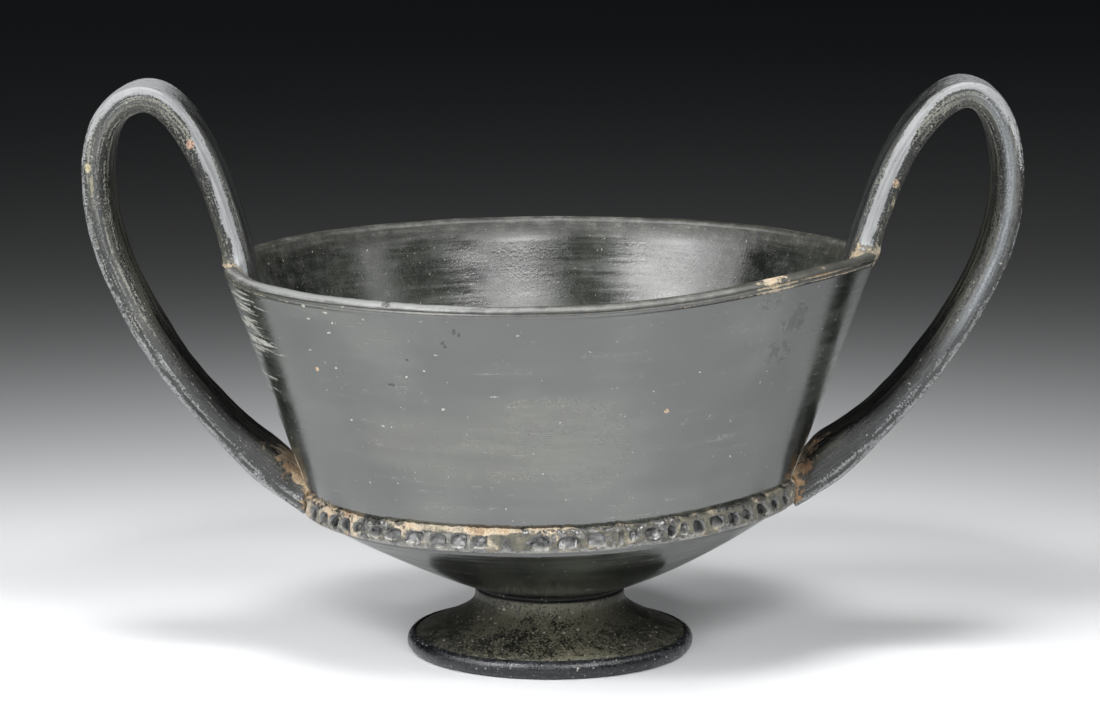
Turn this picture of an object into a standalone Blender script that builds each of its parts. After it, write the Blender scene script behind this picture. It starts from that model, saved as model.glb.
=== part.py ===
"""Kantharos: a black burnished clay cup with a notched ridge, a trumpet foot and two high strap handles.

The bowl and foot are turned from one profile, and the handles are straps luted to the rim and the ridge.
All of it was fired as one, so it is one closed solid. Metres, +Z up. The origin is the centre of the
surface that the foot rests on, with the handles along X.
"""

import math

import bmesh
import bpy
import numpy as np

MM = 0.001

# Wall of the bowl, a straight cone from the ledge up to the lip (outer side)
RIM_RADIUS = 76.5 * MM
RIM_HEIGHT = 93.0 * MM
WALL_FOOT_RADIUS = 57.2 * MM
WALL_FOOT_HEIGHT = 40.2 * MM
WALL_THICKNESS = 3.6 * MM
LIP_ROUNDING = 0.8 * MM

# Two fine lines cut under the lip
LINE_DROPS = (1.3 * MM, 2.6 * MM)
LINE_WIDTH = 0.6 * MM
LINE_DEPTH = 0.35 * MM

# Ridge with its row of notches, between the wall and the underside
RIDGE_PROJECTION = 1.2 * MM
RIDGE_HEIGHT = 5.0 * MM
RIDGE_CHAMFER = 0.6 * MM
NOTCH_COUNT = 66
NOTCH_WIDTH = 4.6 * MM
NOTCH_HEIGHT = 3.5 * MM
NOTCH_DEPTH = 0.9 * MM
NOTCH_CLEARANCE = 1.5 * MM

# Underside and floor of the bowl
UNDERSIDE_BULGE = 1.2 * MM
FLOOR_THICKNESS = 9.5 * MM
FLOOR_CORNER_RISE = 2.0 * MM

# Stem and foot
JOINT_HEIGHT = 15.7 * MM
STEM_RADIUS = 17.6 * MM
STEM_STRAIGHT = 1.4 * MM
JOINT_GROOVE_DEPTH = 0.5 * MM
FOOT_RADIUS = 33.75 * MM
FOOT_EDGE_HEIGHT = 4.3 * MM
FOOT_EDGE_ROUNDING = 1.8 * MM
FOOT_GROOVE_WIDTH = 0.9 * MM
FOOT_GROOVE_DEPTH = 0.5 * MM
RESTING_RING_WIDTH = 5.5 * MM
FOOT_HOLLOW_HEIGHT = 10.0 * MM

# Strap handles: the left one stands at -X and the right one at +X.
# Reach and crown say how far outside the rim the loop and its top stand, and rise how far above it.
# Drop is how far under the ledge the lower root ends, and fillet the clay filled in above that root.
STRAP_WIDTH = 20.0 * MM
STRAP_THICKNESS = 6.2 * MM
STRAP_EDGE_ROUNDING = 1.8 * MM
ROOT_WIDTH = 23.0 * MM
ROOT_EMBEDDING = 9.0 * MM
LOOP_BULGE_HEIGHT = 13.5 * MM
LEFT_REACH = 30.3 * MM
LEFT_RISE = 38.0 * MM
LEFT_CROWN = 17.9 * MM
LEFT_DROP = 2.0 * MM
LEFT_FILLET = 2.0 * MM
RIGHT_REACH = 31.6 * MM
RIGHT_RISE = 39.2 * MM
RIGHT_CROWN = 20.8 * MM
RIGHT_DROP = 3.2 * MM
RIGHT_FILLET = 3.4 * MM

# The loop's free form, each point as shares of what it lies between: rim to top, rim to bulge, and
# lower root to bulge (out, up)
RISING_SHARES = ((-0.13, -0.05), (0.08, 0.32), (0.42, 0.72))
SHOULDER_SHARES = (0.915, 0.87)
FALLING_SHARES = ((0.88, 0.72), (0.555, 0.358), (0.13, 0.062))

# Shares of the strap's length: it leaves the rim, starts to thicken, is thickest and is inside the ridge
STRAP_KEYS = (0.0, 0.05, 0.84, 0.93, 0.965, 1.0)

# How far the strap's ends thin inside the wall and the ridge, as shares of the wall's thickness, and how
# much its outer face swells just above the ridge
GRIP_IN_WALL = 0.25
GRIP_IN_RIDGE = 0.8
ROOT_SWELL = 1.15

# What drying and firing left: the bowl leans a little, and the rim stands up beside the right handle
RIDGE_LEAN = math.radians(1.25)
RIM_LEAN = math.radians(0.4)
RIM_SWELL_HEIGHT = 4.0 * MM
RIDGE_SWELL_HEIGHT = 1.2 * MM
RIM_SWELL_AZIMUTH = math.radians(-34.0)
RIM_SWELL_SPREAD = math.radians(34.0)

# Small chip in the lip, towards -X on the near side
CHIP_AZIMUTH = math.radians(-118.5)
CHIP_WIDTH = 1.9 * MM
CHIP_DEPTH = 1.0 * MM

# Facets
TURNED_SEGMENTS = 60
HANDLE_STATIONS = 36
SMOOTH_ANGLE = math.radians(32.0)

CLAY_COLOUR = (0.036, 0.037, 0.035, 1.0)
CLAY_ROUGHNESS = 0.36


def clear_scene():
    """Remove every object, so that the file holds the cup alone."""
    for item in list(bpy.data.objects):
        bpy.data.objects.remove(item, do_unlink=True)


def collection_named(name):
    """A new collection, linked to the scene."""
    group = bpy.data.collections.new(name)
    bpy.context.scene.collection.children.link(group)
    return group


def clay_material():
    """Burnished black clay."""
    material = bpy.data.materials.new("bucchero")
    material.use_nodes = True
    shader = material.node_tree.nodes["Principled BSDF"]
    shader.inputs["Base Color"].default_value = CLAY_COLOUR
    shader.inputs["Roughness"].default_value = CLAY_ROUGHNESS
    shader.inputs["Metallic"].default_value = 0.0
    return material


def bezier(start, first, second, end, steps):
    """Points along a cubic Bezier curve, without its start point."""
    points = []
    for i in range(1, steps + 1):
        t = i / steps
        s = 1.0 - t
        weights = (s ** 3, 3.0 * s * s * t, 3.0 * s * t * t, t ** 3)
        points.append(tuple(sum(w * p[k] for w, p in zip(weights, (start, first, second, end))) for k in (0, 1)))
    return points


def ellipse_arc(centre, radii, first_degrees, last_degrees, steps):
    """Points along an arc of an ellipse, both ends included."""
    points = []
    for i in range(steps + 1):
        angle = math.radians(first_degrees + (last_degrees - first_degrees) * i / steps)
        points.append((centre[0] + radii[0] * math.cos(angle), centre[1] + radii[1] * math.sin(angle)))
    return points


def wall_slope():
    """How far the outer wall leans out for each metre of height."""
    return (RIM_RADIUS - WALL_FOOT_RADIUS) / (RIM_HEIGHT - WALL_FOOT_HEIGHT)


def wall_radius(height):
    """Outer radius of the bowl's wall at a height."""
    return WALL_FOOT_RADIUS + wall_slope() * (height - WALL_FOOT_HEIGHT)


def inner_profile():
    """The inside, from the middle of the floor out and up to just under the lip."""
    corner_height = WALL_FOOT_HEIGHT + FLOOR_CORNER_RISE
    corner = (wall_radius(corner_height) - WALL_THICKNESS, corner_height)
    floor_height = FOOT_HOLLOW_HEIGHT + FLOOR_THICKNESS
    floor_middle = (0.0, floor_height)
    flat_pull = (corner[0] * 0.34, floor_height)
    corner_pull = (corner[0] * 0.83, floor_height + (corner[1] - floor_height) * 0.47)
    return [floor_middle] + bezier(floor_middle, flat_pull, corner_pull, corner, 6)


def lip_profile():
    """The rounded lip, over the top from the inner side to the outer side."""
    half = WALL_THICKNESS / 2.0
    centre_height = RIM_HEIGHT - LIP_ROUNDING
    centre = (wall_radius(centre_height) - half, centre_height)
    return ellipse_arc(centre, (half, LIP_ROUNDING), 180.0, 0.0, 4)


def line_profile(drop):
    """One fine line cut into the wall, a V seen in section."""
    middle = RIM_HEIGHT - drop
    top = middle + LINE_WIDTH / 2.0
    foot = middle - LINE_WIDTH / 2.0
    return [(wall_radius(top), top), (wall_radius(middle) - LINE_DEPTH, middle), (wall_radius(foot), foot)]


def ridge_radius():
    """Outer radius of the ridge that carries the notches."""
    return WALL_FOOT_RADIUS + RIDGE_PROJECTION


def ridge_foot():
    """Where the ridge meets the underside."""
    return (WALL_FOOT_RADIUS - RIDGE_CHAMFER, WALL_FOOT_HEIGHT - RIDGE_HEIGHT)


def ridge_profile():
    """The ledge and the face of the ridge, from the wall down to the underside."""
    outer = ridge_radius()
    top = WALL_FOOT_HEIGHT
    foot = WALL_FOOT_HEIGHT - RIDGE_HEIGHT
    ledge_edge = (outer - RIDGE_CHAMFER, top - RIDGE_CHAMFER * 0.4)
    face_top = (outer, top - RIDGE_CHAMFER * 2.0)
    face_foot = (outer - RIDGE_CHAMFER * 0.3, foot + RIDGE_CHAMFER)
    return [(wall_radius(top), top), ledge_edge, face_top, face_foot, ridge_foot()]


def underside_profile():
    """The shallow underside of the bowl, slightly full, from the ridge in to the stem."""
    start = ridge_foot()
    end = (STEM_RADIUS + JOINT_GROOVE_DEPTH, JOINT_HEIGHT)
    steps = 5
    points = []
    for i in range(1, steps + 1):
        t = i / steps
        radius = start[0] + (end[0] - start[0]) * t
        height = start[1] + (end[1] - start[1]) * t - UNDERSIDE_BULGE * 4.0 * t * (1.0 - t)
        points.append((radius, height))
    return points


def foot_profile():
    """Joint groove, stem, flaring top of the foot, groove, rounded edge, resting ring and hollow."""
    stem_top = (STEM_RADIUS, JOINT_HEIGHT - JOINT_GROOVE_DEPTH * 2.0)
    groove = (STEM_RADIUS - JOINT_GROOVE_DEPTH, JOINT_HEIGHT - JOINT_GROOVE_DEPTH)
    stem_foot = (STEM_RADIUS, stem_top[1] - STEM_STRAIGHT)
    edge_middle = (FOOT_RADIUS - FOOT_EDGE_ROUNDING, FOOT_EDGE_HEIGHT / 2.0)
    edge = ellipse_arc(edge_middle, (FOOT_EDGE_ROUNDING, FOOT_EDGE_HEIGHT / 2.0), 80.0, -90.0, 4)
    flare_end = (edge[0][0] - FOOT_GROOVE_WIDTH, FOOT_EDGE_HEIGHT)
    drop = stem_foot[1] - flare_end[1]
    spread = flare_end[0] - stem_foot[0]
    stem_pull = (STEM_RADIUS, stem_foot[1] - drop * 0.30)
    flare_pull = (STEM_RADIUS + spread * 0.26, stem_foot[1] - drop * 0.50)
    flare = bezier(stem_foot, stem_pull, flare_pull, flare_end, 5)
    edge_groove = (edge[0][0] - FOOT_GROOVE_WIDTH / 2.0, FOOT_EDGE_HEIGHT - FOOT_GROOVE_DEPTH)
    ring_inner = (edge_middle[0] - RESTING_RING_WIDTH, 0.0)
    ring_pull = (ring_inner[0] * 0.81, FOOT_HOLLOW_HEIGHT * 0.5)
    top_pull = (ring_inner[0] * 0.45, FOOT_HOLLOW_HEIGHT * 0.9)
    hollow = bezier(ring_inner, ring_pull, top_pull, (0.0, FOOT_HOLLOW_HEIGHT), 5)
    return [groove, stem_top, stem_foot] + flare + [edge_groove] + edge + [ring_inner] + hollow


def body_profile():
    """The whole closed section of the turned body, down its outer side."""
    lines = [point for drop in LINE_DROPS for point in line_profile(drop)]
    return inner_profile() + lip_profile() + lines + ridge_profile() + underside_profile() + foot_profile()


def eased(value):
    """Smooth rise from 0 to 1 as value goes from 0 to 1."""
    t = np.clip(value, 0.0, 1.0)
    return t * t * (3.0 - 2.0 * t)


def settle(points):
    """Move points of the turned shape to where drying and firing left them."""
    x, y, z = points[:, 0], points[:, 1], points[:, 2]
    to_ridge = eased((z - JOINT_HEIGHT) / (WALL_FOOT_HEIGHT - JOINT_HEIGHT))
    to_rim = eased((z - WALL_FOOT_HEIGHT) / (RIM_HEIGHT - WALL_FOOT_HEIGHT))
    lean = math.tan(RIDGE_LEAN) * to_ridge + (math.tan(RIM_LEAN) - math.tan(RIDGE_LEAN)) * to_rim
    turn = np.arctan2(y, x) - RIM_SWELL_AZIMUTH
    turn = np.arctan2(np.sin(turn), np.cos(turn))
    swell = RIDGE_SWELL_HEIGHT * to_ridge + (RIM_SWELL_HEIGHT - RIDGE_SWELL_HEIGHT) * to_rim
    swell = swell * np.exp(-(turn / RIM_SWELL_SPREAD) ** 2)
    settled = points.copy()
    settled[:, 2] = z + x * lean + swell
    return settled


def mesh_points(mesh):
    """A mesh's vertices as rows of numbers."""
    flat = np.empty(len(mesh.vertices) * 3)
    mesh.vertices.foreach_get("co", flat)
    return flat.reshape(-1, 3)


def settle_mesh(mesh):
    """Settle every vertex of a mesh whose points are in world space."""
    mesh.vertices.foreach_set("co", settle(mesh_points(mesh)).ravel())
    mesh.update()


def turned_body(group, guides, material):
    """Turn the profile about Z, then settle the mesh."""
    profile = body_profile()
    mesh = bpy.data.meshes.new("body_profile")
    mesh.from_pydata([(r, 0.0, z) for r, z in profile], [(i, i + 1) for i in range(len(profile) - 1)], [])
    spun = bpy.data.objects.new("body_profile", mesh)
    guides.objects.link(spun)
    screw = spun.modifiers.new("turn", "SCREW")
    screw.axis = "Z"
    screw.steps = TURNED_SEGMENTS
    screw.render_steps = TURNED_SEGMENTS
    screw.use_merge_vertices = True
    screw.merge_threshold = 0.00001
    screw.use_normal_calculate = False
    bpy.context.view_layer.update()
    turned = bpy.data.meshes.new_from_object(spun.evaluated_get(bpy.context.evaluated_depsgraph_get()))
    turned.name = "kantharos"
    bpy.data.objects.remove(spun)
    settle_mesh(turned)
    body = bpy.data.objects.new("kantharos", turned)
    turned.materials.clear()
    turned.materials.append(material)
    group.objects.link(body)
    return body


def guide_object(name, build, guides):
    """A closed mesh in the cutters' collection, shown as wire, which the body is cut by or joined to."""
    mesh = bpy.data.meshes.new(name)
    build_mesh = bmesh.new()
    build(build_mesh)
    bmesh.ops.recalc_face_normals(build_mesh, faces=build_mesh.faces)
    build_mesh.to_mesh(mesh)
    build_mesh.free()
    guide = bpy.data.objects.new(name, mesh)
    guide.hide_render = True
    guide.display_type = "WIRE"
    guides.objects.link(guide)
    return guide


def notch_azimuths():
    """Where the notches stand around the ridge, leaving the handles' roots free."""
    radius = ridge_radius()
    free = ROOT_WIDTH / 2.0 + NOTCH_CLEARANCE + NOTCH_WIDTH / 2.0
    azimuths = []
    for i in range(NOTCH_COUNT):
        azimuth = 2.0 * math.pi * (i + 0.5) / NOTCH_COUNT
        if abs(radius * math.sin(azimuth)) > free:
            azimuths.append(azimuth)
    return azimuths


def add_scoop(build_mesh, azimuth, radius, height, size, depth):
    """One low-sided ellipsoid that bites a shallow scoop of the given width and height into a round wall."""
    bite = 1.4
    half_width = size[0] / 2.0
    bow = radius - math.sqrt(radius * radius - half_width * half_width)
    half_depth = (depth + bow) * bite
    made = bmesh.ops.create_uvsphere(build_mesh, u_segments=8, v_segments=4, radius=1.0)
    swell = 1.0 / math.sqrt(1.0 - (1.0 - 1.0 / bite) ** 2)
    centre = radius - depth + half_depth
    for vertex in made["verts"]:
        out, along, up = vertex.co
        reach = centre + out * half_depth
        side = along * half_width * swell
        vertex.co = (reach * math.cos(azimuth) - side * math.sin(azimuth),
                     reach * math.sin(azimuth) + side * math.cos(azimuth),
                     height + up * size[1] / 2.0 * swell)


def notch_cutter(guides):
    """All the notches of the ridge as one cutter."""
    middle = WALL_FOOT_HEIGHT - RIDGE_HEIGHT / 2.0

    def build(build_mesh):
        for azimuth in notch_azimuths():
            add_scoop(build_mesh, azimuth, ridge_radius(), middle, (NOTCH_WIDTH, NOTCH_HEIGHT), NOTCH_DEPTH)

    cutter = guide_object("notches", build, guides)
    settle_mesh(cutter.data)
    return cutter


def chip_cutter(guides):
    """The small chip in the lip, right through its thickness."""
    radius = wall_radius(RIM_HEIGHT) - WALL_THICKNESS / 2.0
    half_reach = WALL_THICKNESS * 0.7

    def build(build_mesh):
        made = bmesh.ops.create_icosphere(build_mesh, subdivisions=1, radius=1.0)
        for vertex in made["verts"]:
            out, along, up = vertex.co
            reach = radius + out * half_reach
            side = along * CHIP_WIDTH / 2.0
            vertex.co = (reach * math.cos(CHIP_AZIMUTH) - side * math.sin(CHIP_AZIMUTH),
                         reach * math.sin(CHIP_AZIMUTH) + side * math.cos(CHIP_AZIMUTH),
                         RIM_HEIGHT + up * CHIP_DEPTH)

    cutter = guide_object("lip_chip", build, guides)
    settle_mesh(cutter.data)
    return cutter


def smooth_path(points, count):
    """Points and unit directions along the natural cubic spline through the given points."""
    knots_at = np.array(points)
    steps = np.sqrt(np.linalg.norm(np.diff(knots_at, axis=0), axis=1))
    knots = np.concatenate([[0.0], np.cumsum(steps)])
    last = len(knots_at) - 1
    system = np.eye(last + 1)
    sums = np.zeros_like(knots_at)
    for i in range(1, last):
        system[i, i - 1:i + 2] = steps[i - 1], 2.0 * (steps[i - 1] + steps[i]), steps[i]
        sums[i] = 6.0 * ((knots_at[i + 1] - knots_at[i]) / steps[i] - (knots_at[i] - knots_at[i - 1]) / steps[i - 1])
    bends = np.linalg.solve(system, sums)
    at = np.linspace(0.0, knots[-1], count)
    span = np.clip(np.searchsorted(knots, at, side="right") - 1, 0, last - 1)
    width = steps[span][:, None]
    ahead = (at - knots[span])[:, None]
    behind = width - ahead
    places = ((bends[span] * behind ** 3 + bends[span + 1] * ahead ** 3) / (6.0 * width)
              + (knots_at[span] / width - bends[span] * width / 6.0) * behind
              + (knots_at[span + 1] / width - bends[span + 1] * width / 6.0) * ahead)
    slopes = ((bends[span + 1] * ahead ** 2 - bends[span] * behind ** 2) / (2.0 * width)
              + (knots_at[span + 1] - knots_at[span]) / width - (bends[span + 1] - bends[span]) * width / 6.0)
    return places, slopes / np.linalg.norm(slopes, axis=1)[:, None]


def even_stations(places, ways, count):
    """Stations that lie closer together where the path bends, each with its share of the path's length."""
    lengths = np.concatenate([[0.0], np.cumsum(np.linalg.norm(np.diff(places, axis=0), axis=1))])
    turns = np.concatenate([[0.0], np.cumsum(np.linalg.norm(np.diff(ways, axis=0), axis=1))])
    measure = lengths / lengths[-1] + turns / turns[-1]
    at = np.linspace(0.0, measure[-1], count)
    picked = [np.stack([np.interp(at, measure, rows[:, k]) for k in (0, 1)], axis=1) for rows in (places, ways)]
    picked[1] /= np.linalg.norm(picked[1], axis=1)[:, None]
    return np.interp(at, measure, lengths / lengths[-1]), picked[0], picked[1]


def settled_height(side, radius, height):
    """Height of a point of the turned shape on the X axis, after it has settled."""
    return float(settle(np.array([[side * radius, 0.0, height]]))[0, 2])


def handle_path(side, reach, rise, crown, drop):
    """The strap's middle line as (distance from the axis, height), from the rim over the loop to the ridge."""
    rim = (wall_radius(RIM_HEIGHT) - WALL_THICKNESS * 0.6, RIM_HEIGHT)
    root_height = RIM_HEIGHT - ROOT_EMBEDDING
    root_radius = wall_radius(root_height) - WALL_THICKNESS / 2.0
    root = (root_radius, settled_height(side, root_radius, root_height))
    top = (rim[0] + crown, rim[1] + rise)
    bulge = (rim[0] + reach, rim[1] + LOOP_BULGE_HEIGHT)
    end_radius = ridge_foot()[0] - WALL_THICKNESS * 0.2
    end = (end_radius, settled_height(side, end_radius, WALL_FOOT_HEIGHT) - drop)
    rising = [(rim[0] + crown * out, rim[1] + rise * up) for out, up in RISING_SHARES]
    shoulder = (rim[0] + reach * SHOULDER_SHARES[0], rim[1] + rise * SHOULDER_SHARES[1])
    falling = [(end[0] + (bulge[0] - end[0]) * out, end[1] + (bulge[1] - end[1]) * up) for out, up in FALLING_SHARES]
    return [root] + rising + [top, shoulder, bulge] + falling + [end]


def strap_corners():
    """Corners of the strap's section: which face, which edge, and how far the rounding pulls the point in."""
    pulls = ((0.0, 1.0), (0.29, 0.29), (1.0, 0.0))
    corners = []
    for face, edge, order in ((1, 1, 1), (-1, 1, -1), (-1, -1, 1), (1, -1, -1)):
        corners += [(face, edge, from_face, from_edge) for from_face, from_edge in pulls[::order]]
    return corners


def strap_loft(side, points, fillet):
    """A builder for the strap along its middle line, wider at both roots and filled in above the lower one."""
    share, places, ways = even_stations(*smooth_path(points, HANDLE_STATIONS * 8), HANDLE_STATIONS)
    half = STRAP_THICKNESS / 2.0
    in_wall = WALL_THICKNESS * GRIP_IN_WALL
    in_ridge = WALL_THICKNESS * GRIP_IN_RIDGE
    outer = np.interp(share, STRAP_KEYS, (in_wall, half, half, half * ROOT_SWELL, in_ridge, in_ridge))
    inner = np.interp(share, STRAP_KEYS, (in_wall, half, half, half + fillet, in_ridge, in_ridge))
    from_rim = 1.0 - eased(share / (STRAP_KEYS[1] * 2.4))
    to_ridge = eased((share - STRAP_KEYS[2]) / (STRAP_KEYS[4] - STRAP_KEYS[2]))
    root_share = np.maximum(from_rim, to_ridge)
    width = STRAP_WIDTH + (ROOT_WIDTH - STRAP_WIDTH) * root_share

    def build(build_mesh):
        rings = []
        for place, way, wide, thick_out, thick_in in zip(places, ways, width, outer, inner):
            ring = []
            for face, edge, from_face, from_edge in strap_corners():
                thick = thick_out if face > 0 else -thick_in
                rounding = min(STRAP_EDGE_ROUNDING, abs(thick) * 0.7)
                across = thick - face * rounding * from_face
                along = edge * (wide / 2.0 - rounding * from_edge)
                distance = place[0] - way[1] * across
                height = place[1] + way[0] * across
                ring.append(build_mesh.verts.new((side * distance, along, height)))
            rings.append(ring)
        count = len(rings[0])
        for ring, following in zip(rings, rings[1:]):
            for i in range(count):
                j = (i + 1) % count
                build_mesh.faces.new((ring[i], ring[j], following[j], following[i]))
        build_mesh.faces.new(rings[0])
        build_mesh.faces.new(rings[-1])

    return build


def add_boolean(body, other, operation):
    """Cut the body by a guide or join the guide to it."""
    boolean = body.modifiers.new(other.name, "BOOLEAN")
    boolean.operation = operation
    boolean.solver = "EXACT"
    boolean.object = other


def build_kantharos():
    """Model the cup."""
    clear_scene()
    group = collection_named("kantharos")
    guides = collection_named("cutters")
    body = turned_body(group, guides, clay_material())
    add_boolean(body, notch_cutter(guides), "DIFFERENCE")
    add_boolean(body, chip_cutter(guides), "DIFFERENCE")
    left_path = handle_path(-1.0, LEFT_REACH, LEFT_RISE, LEFT_CROWN, LEFT_DROP)
    right_path = handle_path(1.0, RIGHT_REACH, RIGHT_RISE, RIGHT_CROWN, RIGHT_DROP)
    add_boolean(body, guide_object("left_strap", strap_loft(-1.0, left_path, LEFT_FILLET), guides), "UNION")
    add_boolean(body, guide_object("right_strap", strap_loft(1.0, right_path, RIGHT_FILLET), guides), "UNION")
    body.data.shade_smooth()
    body.data.set_sharp_from_angle(angle=SMOOTH_ANGLE)


build_kantharos()
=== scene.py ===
import math

import bpy
import numpy as np
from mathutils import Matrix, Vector


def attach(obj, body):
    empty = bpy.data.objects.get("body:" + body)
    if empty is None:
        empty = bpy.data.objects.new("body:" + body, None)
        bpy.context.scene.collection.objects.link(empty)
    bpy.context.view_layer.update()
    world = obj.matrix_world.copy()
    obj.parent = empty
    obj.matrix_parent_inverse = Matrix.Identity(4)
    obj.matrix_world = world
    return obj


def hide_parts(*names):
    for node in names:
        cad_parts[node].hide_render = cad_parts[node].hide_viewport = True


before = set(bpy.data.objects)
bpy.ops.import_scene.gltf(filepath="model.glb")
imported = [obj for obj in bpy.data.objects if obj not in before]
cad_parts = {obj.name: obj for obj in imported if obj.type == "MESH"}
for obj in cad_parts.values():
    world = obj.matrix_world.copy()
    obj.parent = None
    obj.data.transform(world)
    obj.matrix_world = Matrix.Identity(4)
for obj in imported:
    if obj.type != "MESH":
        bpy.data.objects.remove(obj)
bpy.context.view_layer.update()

MM = 0.001
TURN = 2.0 * math.pi

# Sizes of the cup, as in its solid
RIM_RADIUS = 76.5 * MM
RIM_HEIGHT = 93.0 * MM
WALL_FOOT_RADIUS = 57.2 * MM
WALL_FOOT_HEIGHT = 40.2 * MM
WALL_THICKNESS = 3.6 * MM
LIP_ROUNDING = 1.3 * MM
RIDGE_PROJECTION = 1.2 * MM
RIDGE_HEIGHT = 5.0 * MM
RIDGE_CHAMFER = 0.6 * MM
UNDERSIDE_BULGE = 1.2 * MM
FLOOR_THICKNESS = 9.5 * MM
FLOOR_CORNER_RISE = 2.0 * MM
JOINT_HEIGHT = 15.7 * MM
STEM_RADIUS = 17.6 * MM
STEM_STRAIGHT = 1.4 * MM
JOINT_GROOVE_DEPTH = 0.5 * MM
FOOT_RADIUS = 33.75 * MM
FOOT_EDGE_HEIGHT = 4.3 * MM
FOOT_EDGE_ROUNDING = 1.8 * MM
FOOT_GROOVE_WIDTH = 0.9 * MM
FOOT_GROOVE_DEPTH = 0.5 * MM
RESTING_RING_WIDTH = 5.5 * MM
FOOT_HOLLOW_HEIGHT = 10.0 * MM
STRAP_WIDTH = 20.0 * MM
STRAP_THICKNESS = 6.2 * MM
ROOT_WIDTH = 23.0 * MM
ROOT_EMBEDDING = 9.0 * MM
LOOP_BULGE_HEIGHT = 13.5 * MM
RIDGE_LEAN = math.radians(1.25)
RIM_LEAN = math.radians(0.4)
RIM_SWELL_HEIGHT = 4.0 * MM
RIDGE_SWELL_HEIGHT = 1.2 * MM
RIM_SWELL_AZIMUTH = math.radians(-34.0)
RIM_SWELL_SPREAD = math.radians(34.0)
CHIP_AZIMUTH = math.radians(-118.5)
CHIP_WIDTH = 1.9 * MM
CHIP_DEPTH = 1.0 * MM

# Loop of each strap: reach, rise, crown, drop and fillet, and its free form as shares
LEFT_LOOP = (30.3 * MM, 38.0 * MM, 17.9 * MM, 2.0 * MM, 2.0 * MM)
RIGHT_LOOP = (31.6 * MM, 39.2 * MM, 20.8 * MM, 3.2 * MM, 3.4 * MM)
RISING_SHARES = ((-0.13, -0.05), (0.08, 0.32), (0.42, 0.72))
SHOULDER_SHARES = (0.915, 0.87)
FALLING_SHARES = ((0.88, 0.72), (0.555, 0.358), (0.13, 0.062))
STRAP_KEYS = (0.0, 0.05, 0.84, 0.93, 0.965, 1.0)

# Section of the straps, with a crisp outer margin and a soft inner one
OUTER_ARRIS = 1.1 * MM
OUTER_BEVEL = 2.5 * MM
INNER_ROUNDING = 2.9 * MM
ROOT_FILLET = 1.7 * MM

# Stretches of the bowl's section that are bare and dull
FOOT_PARTS = ("joint", "stem", "flare", "groove", "ring", "hollow")

# Unevenness of the bowl: where it is, height in millimetres, cells round the pot, their length in
# millimetres and seed
BOWL_RELIEF = ((("wall", "floor", "inside", "underside"), 0.16, 11, 24.0, 11),
               (("wall", "inside"), 0.045, 34, 5.0, 12),
               (("flare", "edge", "stem"), 0.12, 14, 9.0, 13))

# Grids
BOWL_COLUMNS = 560
RIDGE_COLUMNS = 1440
STRAP_STATIONS = 300
LATTICE_ROWS = 512

# The view: distance, dip and aim of the camera, its focal length in pixels, the frame's width and middle
VIEW_DISTANCE = 0.945
VIEW_DIP = math.radians(9.60)
VIEW_AIM_HEIGHT = 70.1 * MM
FOCAL_PIXELS = 4028.5
FRAME_WIDTH = 1100
MIDDLE_COLUMN = 550.0
MIDDLE_ROW = 354.93
LENS_SHIFT = 0.43 / 1100
SETTLING_STEPS = 25


# Plain maths

def eased(value):
    """Smooth rise from 0 to 1: 3t^2 - 2t^3 of the value held between 0 and 1."""
    t = np.clip(value, 0.0, 1.0)
    return t * t * (3.0 - 2.0 * t)


def bell(value, centre, width):
    """Bell curve: e to the power of minus the square of (value - centre) / width."""
    return np.exp(-((value - centre) / width) ** 2)


def wall_radius(height):
    """Outer radius of the straight wall: its foot radius plus the slope times the height above the foot."""
    slope = (RIM_RADIUS - WALL_FOOT_RADIUS) / (RIM_HEIGHT - WALL_FOOT_HEIGHT)
    return WALL_FOOT_RADIUS + slope * (height - WALL_FOOT_HEIGHT)


def bezier(start, first, second, end, count):
    """Points of a cubic Bezier curve with both ends: the four pulls weighted by powers of t and 1 - t."""
    t = np.linspace(0.0, 1.0, count)[:, None]
    s = 1.0 - t
    pulls = [np.array(p) for p in (start, first, second, end)]
    weights = (s ** 3, 3 * s * s * t, 3 * s * t * t, t ** 3)
    return sum(weight * pull for weight, pull in zip(weights, pulls))


def arc(centre, radii, first, last, count):
    """Points of an ellipse's arc: its centre plus its radii times cosine and sine of the angle in degrees."""
    angle = np.radians(np.linspace(first, last, count))[:, None]
    return np.array(centre) + np.array(radii) * np.hstack([np.cos(angle), np.sin(angle)])


def line(start, end, count):
    """Evenly spaced points on a straight line."""
    return np.linspace(start, end, count)


def lattice_noise(u, v, columns, cell, seed):
    """Smooth random relief between -1 and 1. u goes once round from 0 to 1 and closes on itself, v is a
    length. Each point blends, with eased weights, the random numbers at the corners of its lattice cell."""
    rows = LATTICE_ROWS
    table = np.random.default_rng(seed).uniform(-1.0, 1.0, (columns, rows))
    x = (u % 1.0) * columns
    y = (v / cell) % rows
    i, j = np.floor(x).astype(int), np.floor(y).astype(int)
    a, b = eased(x - i), eased(y - j)
    i0, i1, j0, j1 = i % columns, (i + 1) % columns, j % rows, (j + 1) % rows
    low = table[i0, j0] * (1 - a) + table[i1, j0] * a
    high = table[i0, j1] * (1 - a) + table[i1, j1] * a
    return low * (1 - b) + high * b


def wrapped(angle):
    """An angle brought between -pi and pi."""
    return np.arctan2(np.sin(angle), np.cos(angle))


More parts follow.
